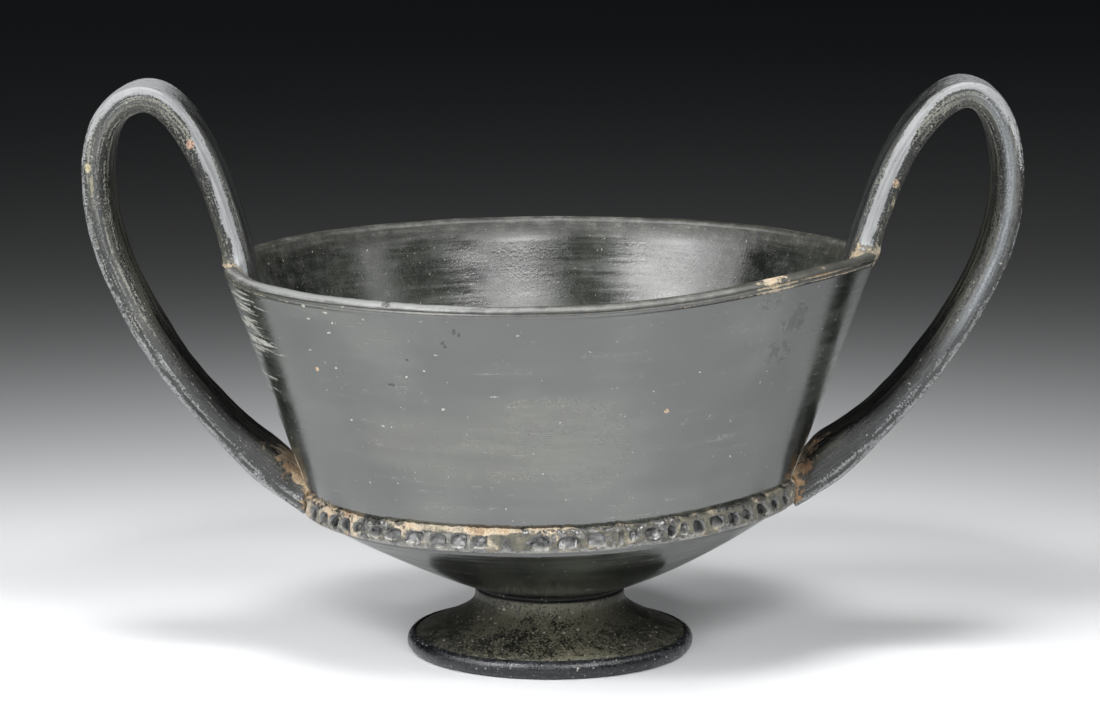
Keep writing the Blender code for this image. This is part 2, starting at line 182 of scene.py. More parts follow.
def settle_shift(x, y, z):
    """How far drying and firing lifted each point: x times the lean at its height, plus the swell beside
    the right handle, a bell curve of the azimuth. Both grow smoothly from the stem's joint to the rim."""
    to_ridge = eased((z - JOINT_HEIGHT) / (WALL_FOOT_HEIGHT - JOINT_HEIGHT))
    to_rim = eased((z - WALL_FOOT_HEIGHT) / (RIM_HEIGHT - WALL_FOOT_HEIGHT))
    lean = math.tan(RIDGE_LEAN) * to_ridge + (math.tan(RIM_LEAN) - math.tan(RIDGE_LEAN)) * to_rim
    turn = wrapped(np.arctan2(y, x) - RIM_SWELL_AZIMUTH)
    swell = RIDGE_SWELL_HEIGHT * to_ridge + (RIM_SWELL_HEIGHT - RIDGE_SWELL_HEIGHT) * to_rim
    return x * lean + swell * bell(turn, 0.0, RIM_SWELL_SPREAD)


def settled(points):
    """Points of the turned shape after settle_shift."""
    moved = points.copy()
    moved[..., 2] += settle_shift(points[..., 0], points[..., 1], points[..., 2])
    return moved


def pixel_size(away, height):
    """Width that a pixel covers at a distance behind the axis and a height: the depth along the camera's
    axis divided by the focal length."""
    depth = VIEW_DISTANCE + away * math.cos(VIEW_DIP) - (height - VIEW_AIM_HEIGHT) * math.sin(VIEW_DIP)
    return depth / FOCAL_PIXELS


def height_seen(row, away, pixel):
    """Height of what a row of the photograph shows at a distance behind the axis: its rise over the middle
    row, less the part that comes from lying behind, over the cosine of the dip."""
    rise = (MIDDLE_ROW - row) * pixel - away * math.sin(VIEW_DIP)
    return VIEW_AIM_HEIGHT + rise / math.cos(VIEW_DIP)


def seen_turned(column, row, radius_at):
    """Azimuth and height of the near side of a turned surface at a pixel of the photograph. The column fixes
    the azimuth and the row the height; each is worked out from the other until both settle."""
    height, turn = VIEW_AIM_HEIGHT, -math.pi / 2.0
    for _ in range(SETTLING_STEPS):
        radius = radius_at(height)
        across, away = radius * math.cos(turn), radius * math.sin(turn)
        height_now = height + float(settle_shift(across, away, height))
        pixel = pixel_size(away, height_now)
        turn = -math.acos(min(1.0, max(-1.0, (column - MIDDLE_COLUMN) * pixel / radius)))
        height += height_seen(row, away, pixel) - height_now
    return turn, height


def seen_upright(column, row, away):
    """Place on the upright plane at a given distance behind the axis at a pixel of the photograph."""
    place = Vector((0.0, away, VIEW_AIM_HEIGHT))
    for _ in range(SETTLING_STEPS):
        pixel = pixel_size(away, place.z)
        place.x = (column - MIDDLE_COLUMN) * pixel
        place.z = height_seen(row, away, pixel)
    return place


def on_wall(column, row):
    """Place on the outer face of the bowl's wall at a pixel of the photograph."""
    turn, height = seen_turned(column, row, wall_radius)
    x, y = wall_radius(height) * math.cos(turn), wall_radius(height) * math.sin(turn)
    return Vector((x, y, height + float(settle_shift(x, y, height))))


# Meshes

def grid_faces(rows, columns, close_rows):
    """Quads between neighbouring rows of a grid whose columns close on themselves, as index arrays."""
    last = rows if close_rows else rows - 1
    i, j = np.meshgrid(np.arange(last), np.arange(columns), indexing="ij")
    here, above = i * columns, (i + 1) % rows * columns
    beside = (j + 1) % columns
    return np.stack([here + j, here + beside, above + beside, above + j], axis=-1).reshape(-1, 4)


def with_poles(values, columns):
    """Values row by row, followed by the means of the first and of the last row for the poles."""
    return np.concatenate([values, [values[:columns].mean(axis=0), values[-columns:].mean(axis=0)]])


def surface(name, points, material, fields, grain, close_rows=False):
    """A closed mesh from a grid of points, row by row round the shape. Where the rows don't close, a pole at
    the middle of the first and of the last row closes the ends. Faces are turned outward by the sign of the
    volume, a sum of corner triple products. The fields and the grain become attributes of the points."""
    rows, columns = points.shape[:2]
    co = points.reshape(-1, 3)
    quads = grid_faces(rows, columns, close_rows)
    first, second, third, fourth = (co[quads[:, k]] for k in range(4))
    volume = (np.cross(second - first, third - first) * first).sum()
    volume += (np.cross(third - first, fourth - first) * first).sum()
    faces = [quads]
    if not close_rows:
        start = len(co)
        co = with_poles(co, columns)
        j = np.arange(columns)
        beside = (j + 1) % columns
        last_row = start - columns
        faces.append(np.stack([beside, j, np.full(columns, start)], axis=1))
        faces.append(np.stack([j + last_row, beside + last_row, np.full(columns, start + 1)], axis=1))
    if volume < 0:
        faces = [group[:, ::-1] for group in faces]
    mesh = bpy.data.meshes.new(name)
    mesh.from_pydata(co.tolist(), [], sum((group.tolist() for group in faces), []))
    for label, values in dict(fields, grain=grain).items():
        flat = values.reshape(rows * columns, -1)
        if not close_rows:
            flat = with_poles(flat, columns)
        kind, slot = ("FLOAT_VECTOR", "vector") if label == "grain" else ("FLOAT", "value")
        made = mesh.attributes.new(label, kind, "POINT")
        made.data.foreach_set(slot, flat.astype(np.float32).ravel())
    mesh.shade_smooth()
    mesh.update()
    piece = bpy.data.objects.new(name, mesh)
    bpy.context.scene.collection.objects.link(piece)
    piece.data.materials.append(material)
    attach(piece, "root")
    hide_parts("kantharos")
    return piece


def run_along(points):
    """Length along a line of points at each of them: the running sum of its steps."""
    return np.concatenate([[0.0], np.cumsum(np.linalg.norm(np.diff(points, axis=0), axis=1))])


def turned(reach, turn, height):
    """Places at a distance from the axis, an azimuth and a height."""
    return np.stack(np.broadcast_arrays(reach * np.cos(turn), reach * np.sin(turn), height), axis=-1)


def profile_normals(profile):
    """Unit normals of a profile in (radius, height), a quarter turn from its direction of travel."""
    way = np.gradient(profile, axis=0)
    way /= np.maximum(np.linalg.norm(way, axis=1), 1e-9)[:, None]
    return np.stack([-way[:, 1], way[:, 0]], axis=1)


# The turned bowl and foot

def bowl_profile():
    """The closed section of the bowl and foot from the floor's middle, up the inside, over the lip and down
    the outside to the middle underneath: straight lines, arcs and Bezier curves end to end. Returns the
    points, and by name the first row of each stretch and the row after its last."""
    corner_height = WALL_FOOT_HEIGHT + FLOOR_CORNER_RISE
    corner = (wall_radius(corner_height) - WALL_THICKNESS, corner_height)
    floor_height = FOOT_HOLLOW_HEIGHT + FLOOR_THICKNESS
    half = WALL_THICKNESS / 2.0
    lip_centre = (wall_radius(RIM_HEIGHT - LIP_ROUNDING) - half, RIM_HEIGHT - LIP_ROUNDING)
    drops = np.concatenate([np.linspace(1.42, 3.7, 19), np.linspace(4.6, 52.7, 25)]) * MM
    heights = RIM_HEIGHT - drops
    outer = np.stack([wall_radius(heights), heights], axis=1)
    ridge_foot = (WALL_FOOT_RADIUS - RIDGE_CHAMFER, WALL_FOOT_HEIGHT - RIDGE_HEIGHT)
    joint = (STEM_RADIUS + JOINT_GROOVE_DEPTH, JOINT_HEIGHT)
    t = np.linspace(0.0, 1.0, 14)[:, None]
    underside = np.array(ridge_foot) * (1 - t) + np.array(joint) * t
    underside[:, 1:] -= UNDERSIDE_BULGE * 4.0 * t * (1.0 - t)
    stem_top = (STEM_RADIUS, JOINT_HEIGHT - JOINT_GROOVE_DEPTH * 2.0)
    inmost = STEM_RADIUS - JOINT_GROOVE_DEPTH - 0.2 * MM
    joint_groove = bezier(joint, (inmost, joint[1]), (inmost, stem_top[1]), stem_top, 7)
    stem_foot = (STEM_RADIUS, stem_top[1] - STEM_STRAIGHT)
    edge_middle = (FOOT_RADIUS - FOOT_EDGE_ROUNDING, FOOT_EDGE_HEIGHT / 2.0)
    edge = arc(edge_middle, (FOOT_EDGE_ROUNDING, FOOT_EDGE_HEIGHT / 2.0), 80.0, -90.0, 14)
    flare_end = (edge[0][0] - FOOT_GROOVE_WIDTH, FOOT_EDGE_HEIGHT)
    drop = stem_foot[1] - flare_end[1]
    spread = flare_end[0] - stem_foot[0]
    flare = bezier(stem_foot, (STEM_RADIUS, stem_foot[1] - drop * 0.30),
                   (STEM_RADIUS + spread * 0.26, stem_foot[1] - drop * 0.50), flare_end, 16)
    cut = FOOT_EDGE_HEIGHT - FOOT_GROOVE_DEPTH
    groove_floor = ((flare_end[0] + 0.3 * MM, cut), (edge[0][0] - 0.3 * MM, cut))
    edge_groove = bezier(flare_end, *groove_floor, edge[0], 7)
    ring_inner = (edge_middle[0] - RESTING_RING_WIDTH, 0.0)
    hollow = bezier(ring_inner, (ring_inner[0] * 0.81, FOOT_HOLLOW_HEIGHT * 0.5),
                    (ring_inner[0] * 0.45, FOOT_HOLLOW_HEIGHT * 0.9), (0.5 * MM, FOOT_HOLLOW_HEIGHT), 7)
    stretches = [
        ("floor", bezier((0.5 * MM, floor_height), (corner[0] * 0.34, floor_height),
                         (corner[0] * 0.83, floor_height + (corner[1] - floor_height) * 0.47), corner, 12)),
        ("inside", line(corner, (lip_centre[0] - half, lip_centre[1]), 12)[1:-1]),
        ("lip", arc(lip_centre, (half, LIP_ROUNDING), 180.0, 0.0, 34)),
        ("wall", outer),
        ("core", np.array([(WALL_FOOT_RADIUS - 0.8 * MM, WALL_FOOT_HEIGHT - 0.4 * MM),
                           (WALL_FOOT_RADIUS - 0.8 * MM, WALL_FOOT_HEIGHT - RIDGE_HEIGHT + 0.6 * MM)])),
        ("underside", underside),
        ("joint", joint_groove[1:]),
        ("stem", line(stem_top, stem_foot, 3)[1:]),
        ("flare", flare[1:]),
        ("groove", edge_groove[1:-1]),
        ("edge", edge),
        ("ring", line((edge_middle[0], 0.0), ring_inner, 4)[1:]),
        ("hollow", hollow[1:]),
    ]
    starts, at = {}, 0
    for label, points in stretches:
        starts[label] = (at, at + len(points))
        at += len(points)
    return np.vstack([points for label, points in stretches]), starts


def bowl_azimuths():
    """Azimuths of the bowl's columns, spaced evenly, but up to five times closer at the chip in the lip: the
    running sum of the density is read backwards at even steps."""
    even = np.linspace(-math.pi, math.pi, 7201)
    density = 1.0 + 4.0 * bell(wrapped(even - CHIP_AZIMUTH), 0.0, math.radians(1.6))
    total = np.concatenate([[0.0], np.cumsum((density[1:] + density[:-1]) / 2.0)])
    return np.interp(np.arange(BOWL_COLUMNS) / BOWL_COLUMNS * total[-1], total, even)


def grain_round(points, run, long_stroke, short_stroke):
    """Coordinates in which burnishing strokes run round the pot: place across divided by the length of a
    stroke, and distance along the profile divided by its width."""
    return np.dstack([points[..., :2] / long_stroke, run / short_stroke + 0.0 * points[..., 0]])


def near(angle, centre, spread):
    """Bell curve of an azimuth round a centre, both in degrees."""
    return bell(np.degrees(wrapped(angle - math.radians(centre))), 0.0, spread)


def spots(turn, listed):
    """Sum of soft spots round the pot, each a share times the bell curve round its azimuth."""
    return sum(share * near(turn, azimuth, spread) for share, azimuth, spread in listed)


# Incised lines under the lip: their distance below it
UPPER_LINE = 1.50 * MM
LOWER_LINE = 2.45 * MM

# Places round the bowl: azimuth and spread in degrees, the right handle at 0 and the front at -90
RIGHT_RIM = (-30.0, 30.0)
LEFT_RIM = (-156.0, 21.0)
FAINT_LINE = (-104.0, 24.0)
WALL_SMEAR = (-49.0, 5.5)
LEFT_HEAP = (-154.0, 8.0)
LEFT_ROOT = (-168.0, 3.0)
RIGHT_ROOT = (-12.0, 3.0)
LEFT_SCUFFS = (-160.0, 14.0)
FOOT_FRONT = (-90.0, 50.0)
FOOT_BACK = (80.0, 60.0)

# Soft spots round the bowl: share, azimuth and spread
LIP_SMEARS = ((0.15, -50.0, 6.0), (0.44, -36.0, 1.8))
INSIDE_STROKES = ((0.34, 140.0, 26.0), (0.14, 60.0, 35.0))
INSIDE_DUST = ((0.40, 140.0, 34.0), (0.25, 60.0, 40.0))
WORN_LIP = ((0.62, -132.0, 36.0), (0.10, -75.0, 22.0), (0.25, 90.0, 80.0))


def bowl(material, foot_material):
    """The bowl and foot: its profile turned round Z, each point pushed along the profile's normal by the
    relief, then settled. The relief is broad unevenness, flat burnishing strokes and two incised lines, and
    the chip cuts the lip down to a half ellipse."""
    profile, starts = bowl_profile()
    normals = profile_normals(profile)
    run = run_along(profile)[:, None]
    turn = bowl_azimuths()[None, :]
    u = turn / TURN + 0.5
    rows = np.arange(len(profile))[:, None]

    def within(*labels):
        """1 on the rows of the named stretches and 0 elsewhere."""
        return sum(((rows >= starts[k][0]) & (rows < starts[k][1])) * 1.0 for k in labels)

    radius, height = profile[:, :1], profile[:, 1:]
    drop = RIM_HEIGHT - height
    lip, wall, foot = within("lip"), within("wall"), within(*FOOT_PARTS)
    outer = wall + lip * (radius > wall_radius(RIM_HEIGHT) - WALL_THICKNESS / 2.0)
    relief = 0.0
    for labels, high, columns, cell, seed in BOWL_RELIEF:
        relief = relief + within(*labels) * high * MM * lattice_noise(u, run, columns, cell * MM, seed)
    wander = 0.10 * MM * lattice_noise(u, run * 0.0, 26, 1.0, 14)
    fade = 1.0 - 0.75 * near(turn, *FAINT_LINE)
    upper = 0.50 * MM * bell(drop, UPPER_LINE + wander * 0.5, 0.24 * MM)
    lower = 0.15 * MM * bell(drop, LOWER_LINE + wander * 1.4, 0.20 * MM) * fade
    relief = relief - outer * (upper + lower)
    points = turned(radius + normals[:, :1] * relief, turn, height + normals[:, 1:] * relief)
    across = wrapped(turn - CHIP_AZIMUTH) * RIM_RADIUS / (CHIP_WIDTH / 2.0)
    lip_top = RIM_HEIGHT - np.clip(1.0 - across ** 2, 0.0, 1.0) ** 0.5 * CHIP_DEPTH
    points[..., 2] -= np.maximum(points[..., 2] - lip_top, 0.0) * (lip + wall * (drop < 2 * MM))
    points[..., 2] += lip * 0.10 * MM * lattice_noise(u, run * 0.0, 40, 1.0, 15)

    # Earth: in the incised lines, most of it beside the handles, above the ridge and by the roots
    right_rim, left_rim = near(turn, *RIGHT_RIM), near(turn, *LEFT_RIM)
    in_upper = 0.95 * bell(drop, UPPER_LINE + 0.1 * MM + wander, 0.20 * MM) * (right_rim + left_rim)
    in_lower = 0.9 * bell(drop, LOWER_LINE + wander * 1.4, 0.24 * MM) * (0.4 + 0.6 * fade)
    in_lines = (in_upper + in_lower) * (0.46 + 0.30 * right_rim + 0.24 * left_rim)
    smear = eased(1.0 - drop / (9.0 * MM)) * 0.50 * near(turn, *WALL_SMEAR)
    smear = smear + eased(1.0 - drop / (2.6 * MM)) * spots(turn, LIP_SMEARS)
    amount, _, hue = earth_along(turn)
    rise = np.maximum(height - WALL_FOOT_HEIGHT, 0.0)
    in_angle = np.exp(-rise / (1.5 * MM)) * np.clip(amount - 0.25, 0.0, 1.0) * eased((hue - 0.5) / 0.2 + 0.25)
    in_angle = np.maximum(in_angle, 0.66 * np.exp(-rise / (4.0 * MM)) * near(turn, *LEFT_HEAP))
    by_roots = near(turn, *LEFT_ROOT) * eased((56 * MM - height) / (8 * MM)) * 0.66
    by_roots = by_roots + near(turn, *RIGHT_ROOT) * eased((58 * MM - height) / (8 * MM)) * 0.60
    earth = outer * (in_lines + in_angle + by_roots) + (wall + lip) * smear

    left_scuffs = near(turn, *LEFT_SCUFFS) * eased((drop - 1.6 * MM) / (2 * MM))
    left_scuffs = left_scuffs * eased((42 * MM - drop) / (26 * MM))
    foot_scuffs = (foot + within("edge")) * np.maximum(near(turn, *FOOT_FRONT), near(turn, *FOOT_BACK))
    inner_strokes = within("inside") * (spots(turn, INSIDE_STROKES) + 0.06)
    top_face = lip + outer * eased(1.0 - (drop - 0.2 * MM) / (0.5 * MM))
    low_hue = eased((66 * MM - height) / (10 * MM)) * (hue - 0.34)
    matt = 0.66 * lip + 0.60 * within("edge") + foot + 0.6 * wall * eased((2.4 * MM - drop) / (0.5 * MM))
    upper_foot = within("stem", "flare") * eased((height - 7 * MM) / (4 * MM))
    fields = {
        "earth": np.clip(earth, 0.0, 1.0),
        "ochre": np.clip(0.34 + 0.12 * right_rim + low_hue, 0.0, 1.0),
        "matt": matt + 0.0 * turn,
        "scuff": np.clip(outer * left_scuffs + inner_strokes + foot_scuffs, 0.0, 1.0),
        # wear: the worn lip, and the joint groove, which the foot's finish turns near black as painted shade
        "wear": np.clip(top_face * spots(turn, WORN_LIP) + 0.9 * within("joint"), 0.0, 1.0),
        # dusty: dust inside the bowl and on the upper foot; the minus one on the underside darkens it as
        # painted shade
        "dusty": (within("inside", "floor") * (0.45 + spots(turn, INSIDE_DUST)) - within("underside")
                  + upper_foot),
    }
    piece = surface("bowl", settled(points), material, fields, grain_round(points, run, 22 * MM, 1.0 * MM))
    piece.data.materials.append(foot_material)
    count, around = len(piece.data.polygons), points.shape[1]
    side_faces = (len(profile) - 1) * around
    of_foot = np.arange(count) >= starts["joint"][0] * around
    of_foot[side_faces:side_faces + around] = False
    piece.data.polygons.foreach_set("material_index", of_foot.astype(np.int32))
    return piece


# The notched ridge

# Columns of the photograph: the notches' middles on the near side, one narrow notch, and the middle of the
# stretch where earth fills them; then the row on which the ridge lies
NOTCH_COLUMNS_SEEN = (305, 313, 323, 333, 345, 358, 374, 392, 414, 437, 458, 479, 540, 568, 597, 622, 634,
                      654, 673, 685, 700, 718, 735, 748, 763, 776, 787)
NARROW_NOTCH = 622
FAR_NOTCHES = 29
FILLED_COLUMN = 509
BAND_ROW = 540
NOTCH_WIDTH = 5.0 * MM
NOTCH_HEIGHT = 3.5 * MM
NOTCH_DEPTH = 1.25 * MM

# Earth along the ridge: first and last column, amount on the ledge, amount between notches, and hue from
# olive at 0 over cream at 0.5 to orange at 1; then the far side's amounts and hue
EARTH_SPANS = ((270, 350, 0.68, 0.56, 0.55), (350, 404, 0.66, 0.54, 0.44), (404, 508, 1.0, 0.47, 0.46),
               (508, 578, 0.72, 0.52, 0.40), (578, 705, 0.62, 0.58, 0.25), (705, 815, 0.62, 0.62, 0.26))
FAR_EARTH = (0.34, 0.26, 0.3)


def ridge_radius(height):
    """Radius of the ridge's face, the same at every height."""
    return WALL_FOOT_RADIUS + RIDGE_PROJECTION + 0.0 * height


def seen_azimuth(column):
    """Azimuth of the near face of the ridge at a column of the photograph."""
    return seen_turned(column, BAND_ROW, ridge_radius)[0]


def earth_along(turn):
    """Amount on the ledge, amount between the notches and hue of the earth at each azimuth: the weighted mean
    of the spans and the far side. A span weighs forty times as much as the far side between its ends, and
    its weight fades out over one and a half degrees."""
    soft = math.radians(1.5)
    sums, total = FAR_EARTH, 1.0
    for first, last, *values in EARTH_SPANS:
        since, before = wrapped(turn - seen_azimuth(first)), wrapped(seen_azimuth(last) - turn)
        weight = eased(since / soft + 0.5) * eased(before / soft + 0.5) * 40.0
        sums = [so_far + weight * value for so_far, value in zip(sums, values)]
        total = total + weight
    return [so_far / total for so_far in sums]


def notch_rows():
    """Azimuth, width, height, depth, lift, lean and floor tilt of every notch: those of the near side where
    they are seen, leaning outward at the top towards both handles, and evenly spaced ones on the far side.
    No notch is wider than the gap to its neighbour leaves room for."""
    chance = np.random.default_rng(31)
    near_side = np.array([seen_azimuth(column) for column in NOTCH_COLUMNS_SEEN])
    far_side = np.linspace(math.radians(16.0), math.radians(164.0), FAR_NOTCHES)
    far_side = far_side + chance.uniform(-0.012, 0.012, FAR_NOTCHES)
    azimuths = np.concatenate([near_side, far_side])
    gaps = np.abs(wrapped(azimuths[:, None] - azimuths[None, :])) + np.eye(len(azimuths)) * 9.0
    room = gaps.min(axis=1) * (WALL_FOOT_RADIUS + RIDGE_PROJECTION) - 0.55 * MM
    count = len(azimuths)
    widths = np.minimum(room, NOTCH_WIDTH) * chance.uniform(0.92, 1.0, count)
    widths = widths * np.where(np.arange(count) == NOTCH_COLUMNS_SEEN.index(NARROW_NOTCH), 0.55, 1.0)
    heights = NOTCH_HEIGHT * chance.uniform(0.86, 1.08, count)
    depths = NOTCH_DEPTH * chance.uniform(0.8, 1.15, count)
    lifts = chance.uniform(-0.22, 0.22, count) * MM
    outward = np.sin(azimuths + math.pi / 2.0) * np.abs(np.cos(azimuths))
    leans = chance.uniform(-0.14, 0.14, count) - 0.55 * outward
    tilts = chance.uniform(0.44, 0.68, count)
    return azimuths, widths, heights, depths, lifts, leans, tilts


def scoops(turn, height):
    """Depth of the notches at each azimuth and height. With u along and v up in half sizes of the notch, and
    s = |u|^3.4 + |v|^3, a notch has steep edges as s nears one, and a floor that is deepest at its top."""
    middle = WALL_FOOT_HEIGHT - RIDGE_HEIGHT / 2.0 - 0.1 * MM
    radius = WALL_FOOT_RADIUS + RIDGE_PROJECTION
    depth = np.zeros(np.broadcast(turn, height).shape)
    for azimuth, wide, tall, deep, lift, lean, tilt in zip(*notch_rows()):
        up = (height - middle - lift) / (tall / 2.0)
        along = (wrapped(turn - azimuth) * radius) / (wide / 2.0) - lean * up
        edge = np.clip(1.0 - (np.abs(along) ** 3.4 + np.abs(up) ** 3.0), 0.0, 1.0)
        hollow = 0.62 - 0.16 * np.clip(along ** 2, 0.0, 1.0) + tilt * np.clip(up, -1.0, 1.0)
        depth = np.maximum(depth, deep * eased(edge * 2.2) * np.maximum(hollow, 0.08))
    return depth


def ridge(material):
    """The notched ridge: a closed section of lines and arcs, ledge, face, underside and back, turned round Z
    and closed inside the wall. Its face is pushed out by uneven relief and in by the notches' depth, and
    crusts of earth raise its ledge and fill some notches."""
    outer = WALL_FOOT_RADIUS + RIDGE_PROJECTION
    top, foot = WALL_FOOT_HEIGHT, WALL_FOOT_HEIGHT - RIDGE_HEIGHT
    inner = WALL_FOOT_RADIUS - 1.6 * MM
    section = np.vstack([
        line((inner, top + 0.55 * MM), (outer - 1.0 * MM, top - 0.02 * MM), 6),
        arc((outer - 1.1 * MM, top - 1.05 * MM), (1.1 * MM, 1.0 * MM), 72.0, 6.0, 7),
        line((outer, top - 1.2 * MM), (outer - 0.1 * MM, foot + 1.1 * MM), 14),
        arc((outer - 1.1 * MM, foot + 1.0 * MM), (1.0 * MM, 1.05 * MM), -8.0, -80.0, 7),
        line((outer - 1.5 * MM, foot), (inner, foot + 0.2 * MM), 3),
        line((inner, foot + 0.8 * MM), (inner, top - 0.5 * MM), 3),
    ])
    turn = (np.arange(RIDGE_COLUMNS) / RIDGE_COLUMNS * TURN - math.pi)[None, :]
    u = turn / TURN + 0.5
    radius, height = section[:, :1], section[:, 1:]
    face = eased((radius - (outer - 1.5 * MM)) / (0.9 * MM))
    amount, crest, hue = earth_along(turn)
    rough = lattice_noise(u, height, 420, 0.8 * MM, 21)
    lumps = lattice_noise(u, height, 130, 1.9 * MM, 23)
    broad = lattice_noise(u, height * 0.0, 40, 1.0, 22)
    filled = 0.92 * np.exp(-(wrapped(turn - seen_azimuth(FILLED_COLUMN)) / math.radians(5.2)) ** 4)
    depth = scoops(turn, height) * (1.0 - filled)
    cover_low = top - (0.22 + 0.86 * amount ** 2 + 0.25 * lumps) * MM
    ledge = eased((height - cover_low) / (0.5 * MM)) * (radius > inner + 0.1 * MM)
    ledge = ledge * (1.0 - 0.8 * eased(depth / (0.45 * MM)))
    inward = eased((outer - 0.2 * MM - radius) / (1.3 * MM))
    crust = ledge * eased((amount - 0.35) / 0.5 + 0.45 * lumps) * (0.20 + 0.45 * inward + 0.20 * rough) * MM
    push = face * (0.09 * MM * broad + 0.11 * MM * lumps + 0.06 * MM * rough - depth)
    points = turned(radius + push + 0.5 * crust * face, turn, height + crust)
    bare_face = face * (1.0 - ledge)
    between = eased(1.0 - depth / (0.40 * MM)) * bare_face
    lining = bell(depth, 0.22 * MM, 0.16 * MM) * face * (1.0 - filled)
    foot_side = eased(1.0 - (height - foot) / (1.5 * MM))
    foot_arris = eased(1.0 - np.abs(height - foot) / (0.6 * MM)) * face
    earth = ledge * amount * (0.74 + 0.26 * inward) + between * crest * (1.0 - 0.35 * foot_side)
    earth = earth + 0.42 * lining * crest + 0.10 * filled * bare_face
    olive = (0.17 + 0.46 * filled) * bare_face * (1.0 - 0.8 * lining)
    fields = {
        "earth": np.clip(earth, 0.0, 1.0),
        "ochre": np.clip(hue + 0.14 * lumps - olive, 0.0, 1.0),
        "scuff": 0.25 * between,
        "wear": 0.30 * between + 0.55 * lining + 0.25 * foot_arris,
    }
    grain = grain_round(points, run_along(section)[:, None], 3 * MM, 1.2 * MM)
    return surface("notched_ridge", settled(points), material, fields, grain, close_rows=True)


# The strap handles

def smooth_path(points, count):
    """Points and unit directions along the natural cubic spline through the given points: the knots are
    spaced by the square roots of the distances, and the bends at them solve one equation for each knot, in
    which the slopes on both sides of it agree."""
    knots_at = np.array(points)
    steps = np.sqrt(np.linalg.norm(np.diff(knots_at, axis=0), axis=1))
    knots = np.concatenate([[0.0], np.cumsum(steps)])
    last = len(knots_at) - 1
    system = np.eye(last + 1)
    sums = np.zeros_like(knots_at)
    slants = np.diff(knots_at, axis=0) / steps[:, None]
    for i in range(1, last):
        system[i, i - 1:i + 2] = steps[i - 1], 2.0 * (steps[i - 1] + steps[i]), steps[i]
        sums[i] = 6.0 * (slants[i] - slants[i - 1])
    bends = np.linalg.solve(system, sums)
    at = np.linspace(0.0, knots[-1], count)
    span = np.clip(np.searchsorted(knots, at, side="right") - 1, 0, last - 1)
    width = steps[span][:, None]
    ahead = (at - knots[span])[:, None]
    behind = width - ahead
    bend, next_bend = bends[span], bends[span + 1]
    places = ((bend * behind ** 3 + next_bend * ahead ** 3) / (6.0 * width)
              + (knots_at[span] / width - bend * width / 6.0) * behind
              + (knots_at[span + 1] / width - next_bend * width / 6.0) * ahead)
    slopes = ((next_bend * ahead ** 2 - bend * behind ** 2) / (2.0 * width)
              + slants[span] - (next_bend - bend) * width / 6.0)
    return places, slopes / np.linalg.norm(slopes, axis=1)[:, None]


def handle_path(side, reach, rise, crown, drop):
    """Points of the strap's middle line as distance from the axis and height, from the rim over the loop to
    the ridge. Each free point is an anchor plus shares of a span."""
    def settled_height(radius, height):
        """Height after settling, on the line through both handles."""
        return height + float(settle_shift(side * radius, 0.0, height))

    rim = np.array((wall_radius(RIM_HEIGHT) - WALL_THICKNESS * 0.6, RIM_HEIGHT))
    root_height = RIM_HEIGHT - ROOT_EMBEDDING
    root_radius = wall_radius(root_height) - WALL_THICKNESS / 2.0
    root = (root_radius, settled_height(root_radius, root_height))
    bulge = rim + (reach, LOOP_BULGE_HEIGHT)
    end_radius = WALL_FOOT_RADIUS - RIDGE_CHAMFER - WALL_THICKNESS * 0.2
    end = np.array((end_radius, settled_height(end_radius, WALL_FOOT_HEIGHT) - drop))
    rising = rim + np.array(RISING_SHARES) * (crown, rise)
    shoulder = rim + np.array(SHOULDER_SHARES) * (reach, rise)
    falling = end + np.array(FALLING_SHARES) * (bulge - end)
    return np.vstack([root, rising, rim + (crown, rise), shoulder, bulge, falling, end])


def strap_ring():
    """The strap's section as shares, followed once round: on which side of each axis the corner's centre
    lies, and the corner's direction. Two quarter circles with a wide and a thick flat go half round, nine
    points to a corner, and the other half is the same with all signs turned."""
    quarter = np.linspace(0.0, math.pi / 2.0, 9)
    flat_wide = np.linspace(1.0, -1.0, 18)[1:-1]
    flat_thick = np.linspace(1.0, -1.0, 5)[1:-1]
    corner, wide, thick = np.ones(9), np.ones(len(flat_wide)), np.ones(len(flat_thick))
    halves = ((corner, flat_wide, -corner, -thick), (corner, wide, corner, flat_thick),
              (np.cos(quarter), 0.0 * wide, -np.sin(quarter), -thick),
              (np.sin(quarter), wide, np.cos(quarter), 0.0 * thick))
    return [np.concatenate(half + tuple(-part for part in half)) for half in halves]


def softened(values, reach):
    """Values along the strap averaged over a few neighbouring stations, the ends held."""
    padded = np.pad(values[:, 0], reach, mode="edge")
    window = np.hanning(2 * reach + 3)[1:-1]
    return np.convolve(padded, window / window.sum(), mode="valid")[:, None]


# The bowl's outer face as heights and radii in millimetres, and its slant at three heights
OUTER_FACE = ((16.0, 18.5), (22.0, 31.0), (28.0, 43.0), (35.0, 56.6), (35.4, 58.4), (40.2, 58.4),
              (40.6, 57.3), (93.0, 76.5), (140.0, 93.7))
FACE_SLANTS = ((30.0, 0.45), (35.5, 0.9), (41.0, 0.94))


def distance_to_bowl(points):
    """Rough distance from each point to the bowl's surface: the largest of how far it lies outside the outer
    face, inside the inner face and above the lip, each turned square to the face by its slant."""
    x, y, z = points[..., 0], points[..., 1], points[..., 2]
    height = z - settle_shift(x, y, z)
    radius = np.hypot(x, y)
    heights, radii = np.array(OUTER_FACE).T * MM
    slant_heights, slants = np.array(FACE_SLANTS).T
    slant = np.interp(height, slant_heights * MM, slants)
    outside = (radius - np.interp(height, heights, radii)) * slant
    inner_face = (wall_radius(height) - WALL_THICKNESS - radius) * FACE_SLANTS[-1][1]
    inside = np.where(height > WALL_FOOT_HEIGHT + 2.0 * MM, inner_face, -1.0)
    return np.maximum.reduce([outside, inside, height - RIM_HEIGHT])


# Unevenness of the straps: height in millimetres, cells round the strap, their length in millimetres, seed
STRAP_RELIEF = ((0.16, 7, 13.0, 0), (0.07, 13, 4.0, 1), (0.05, 38, 9.0, 2), (0.035, 64, 1.6, 7))


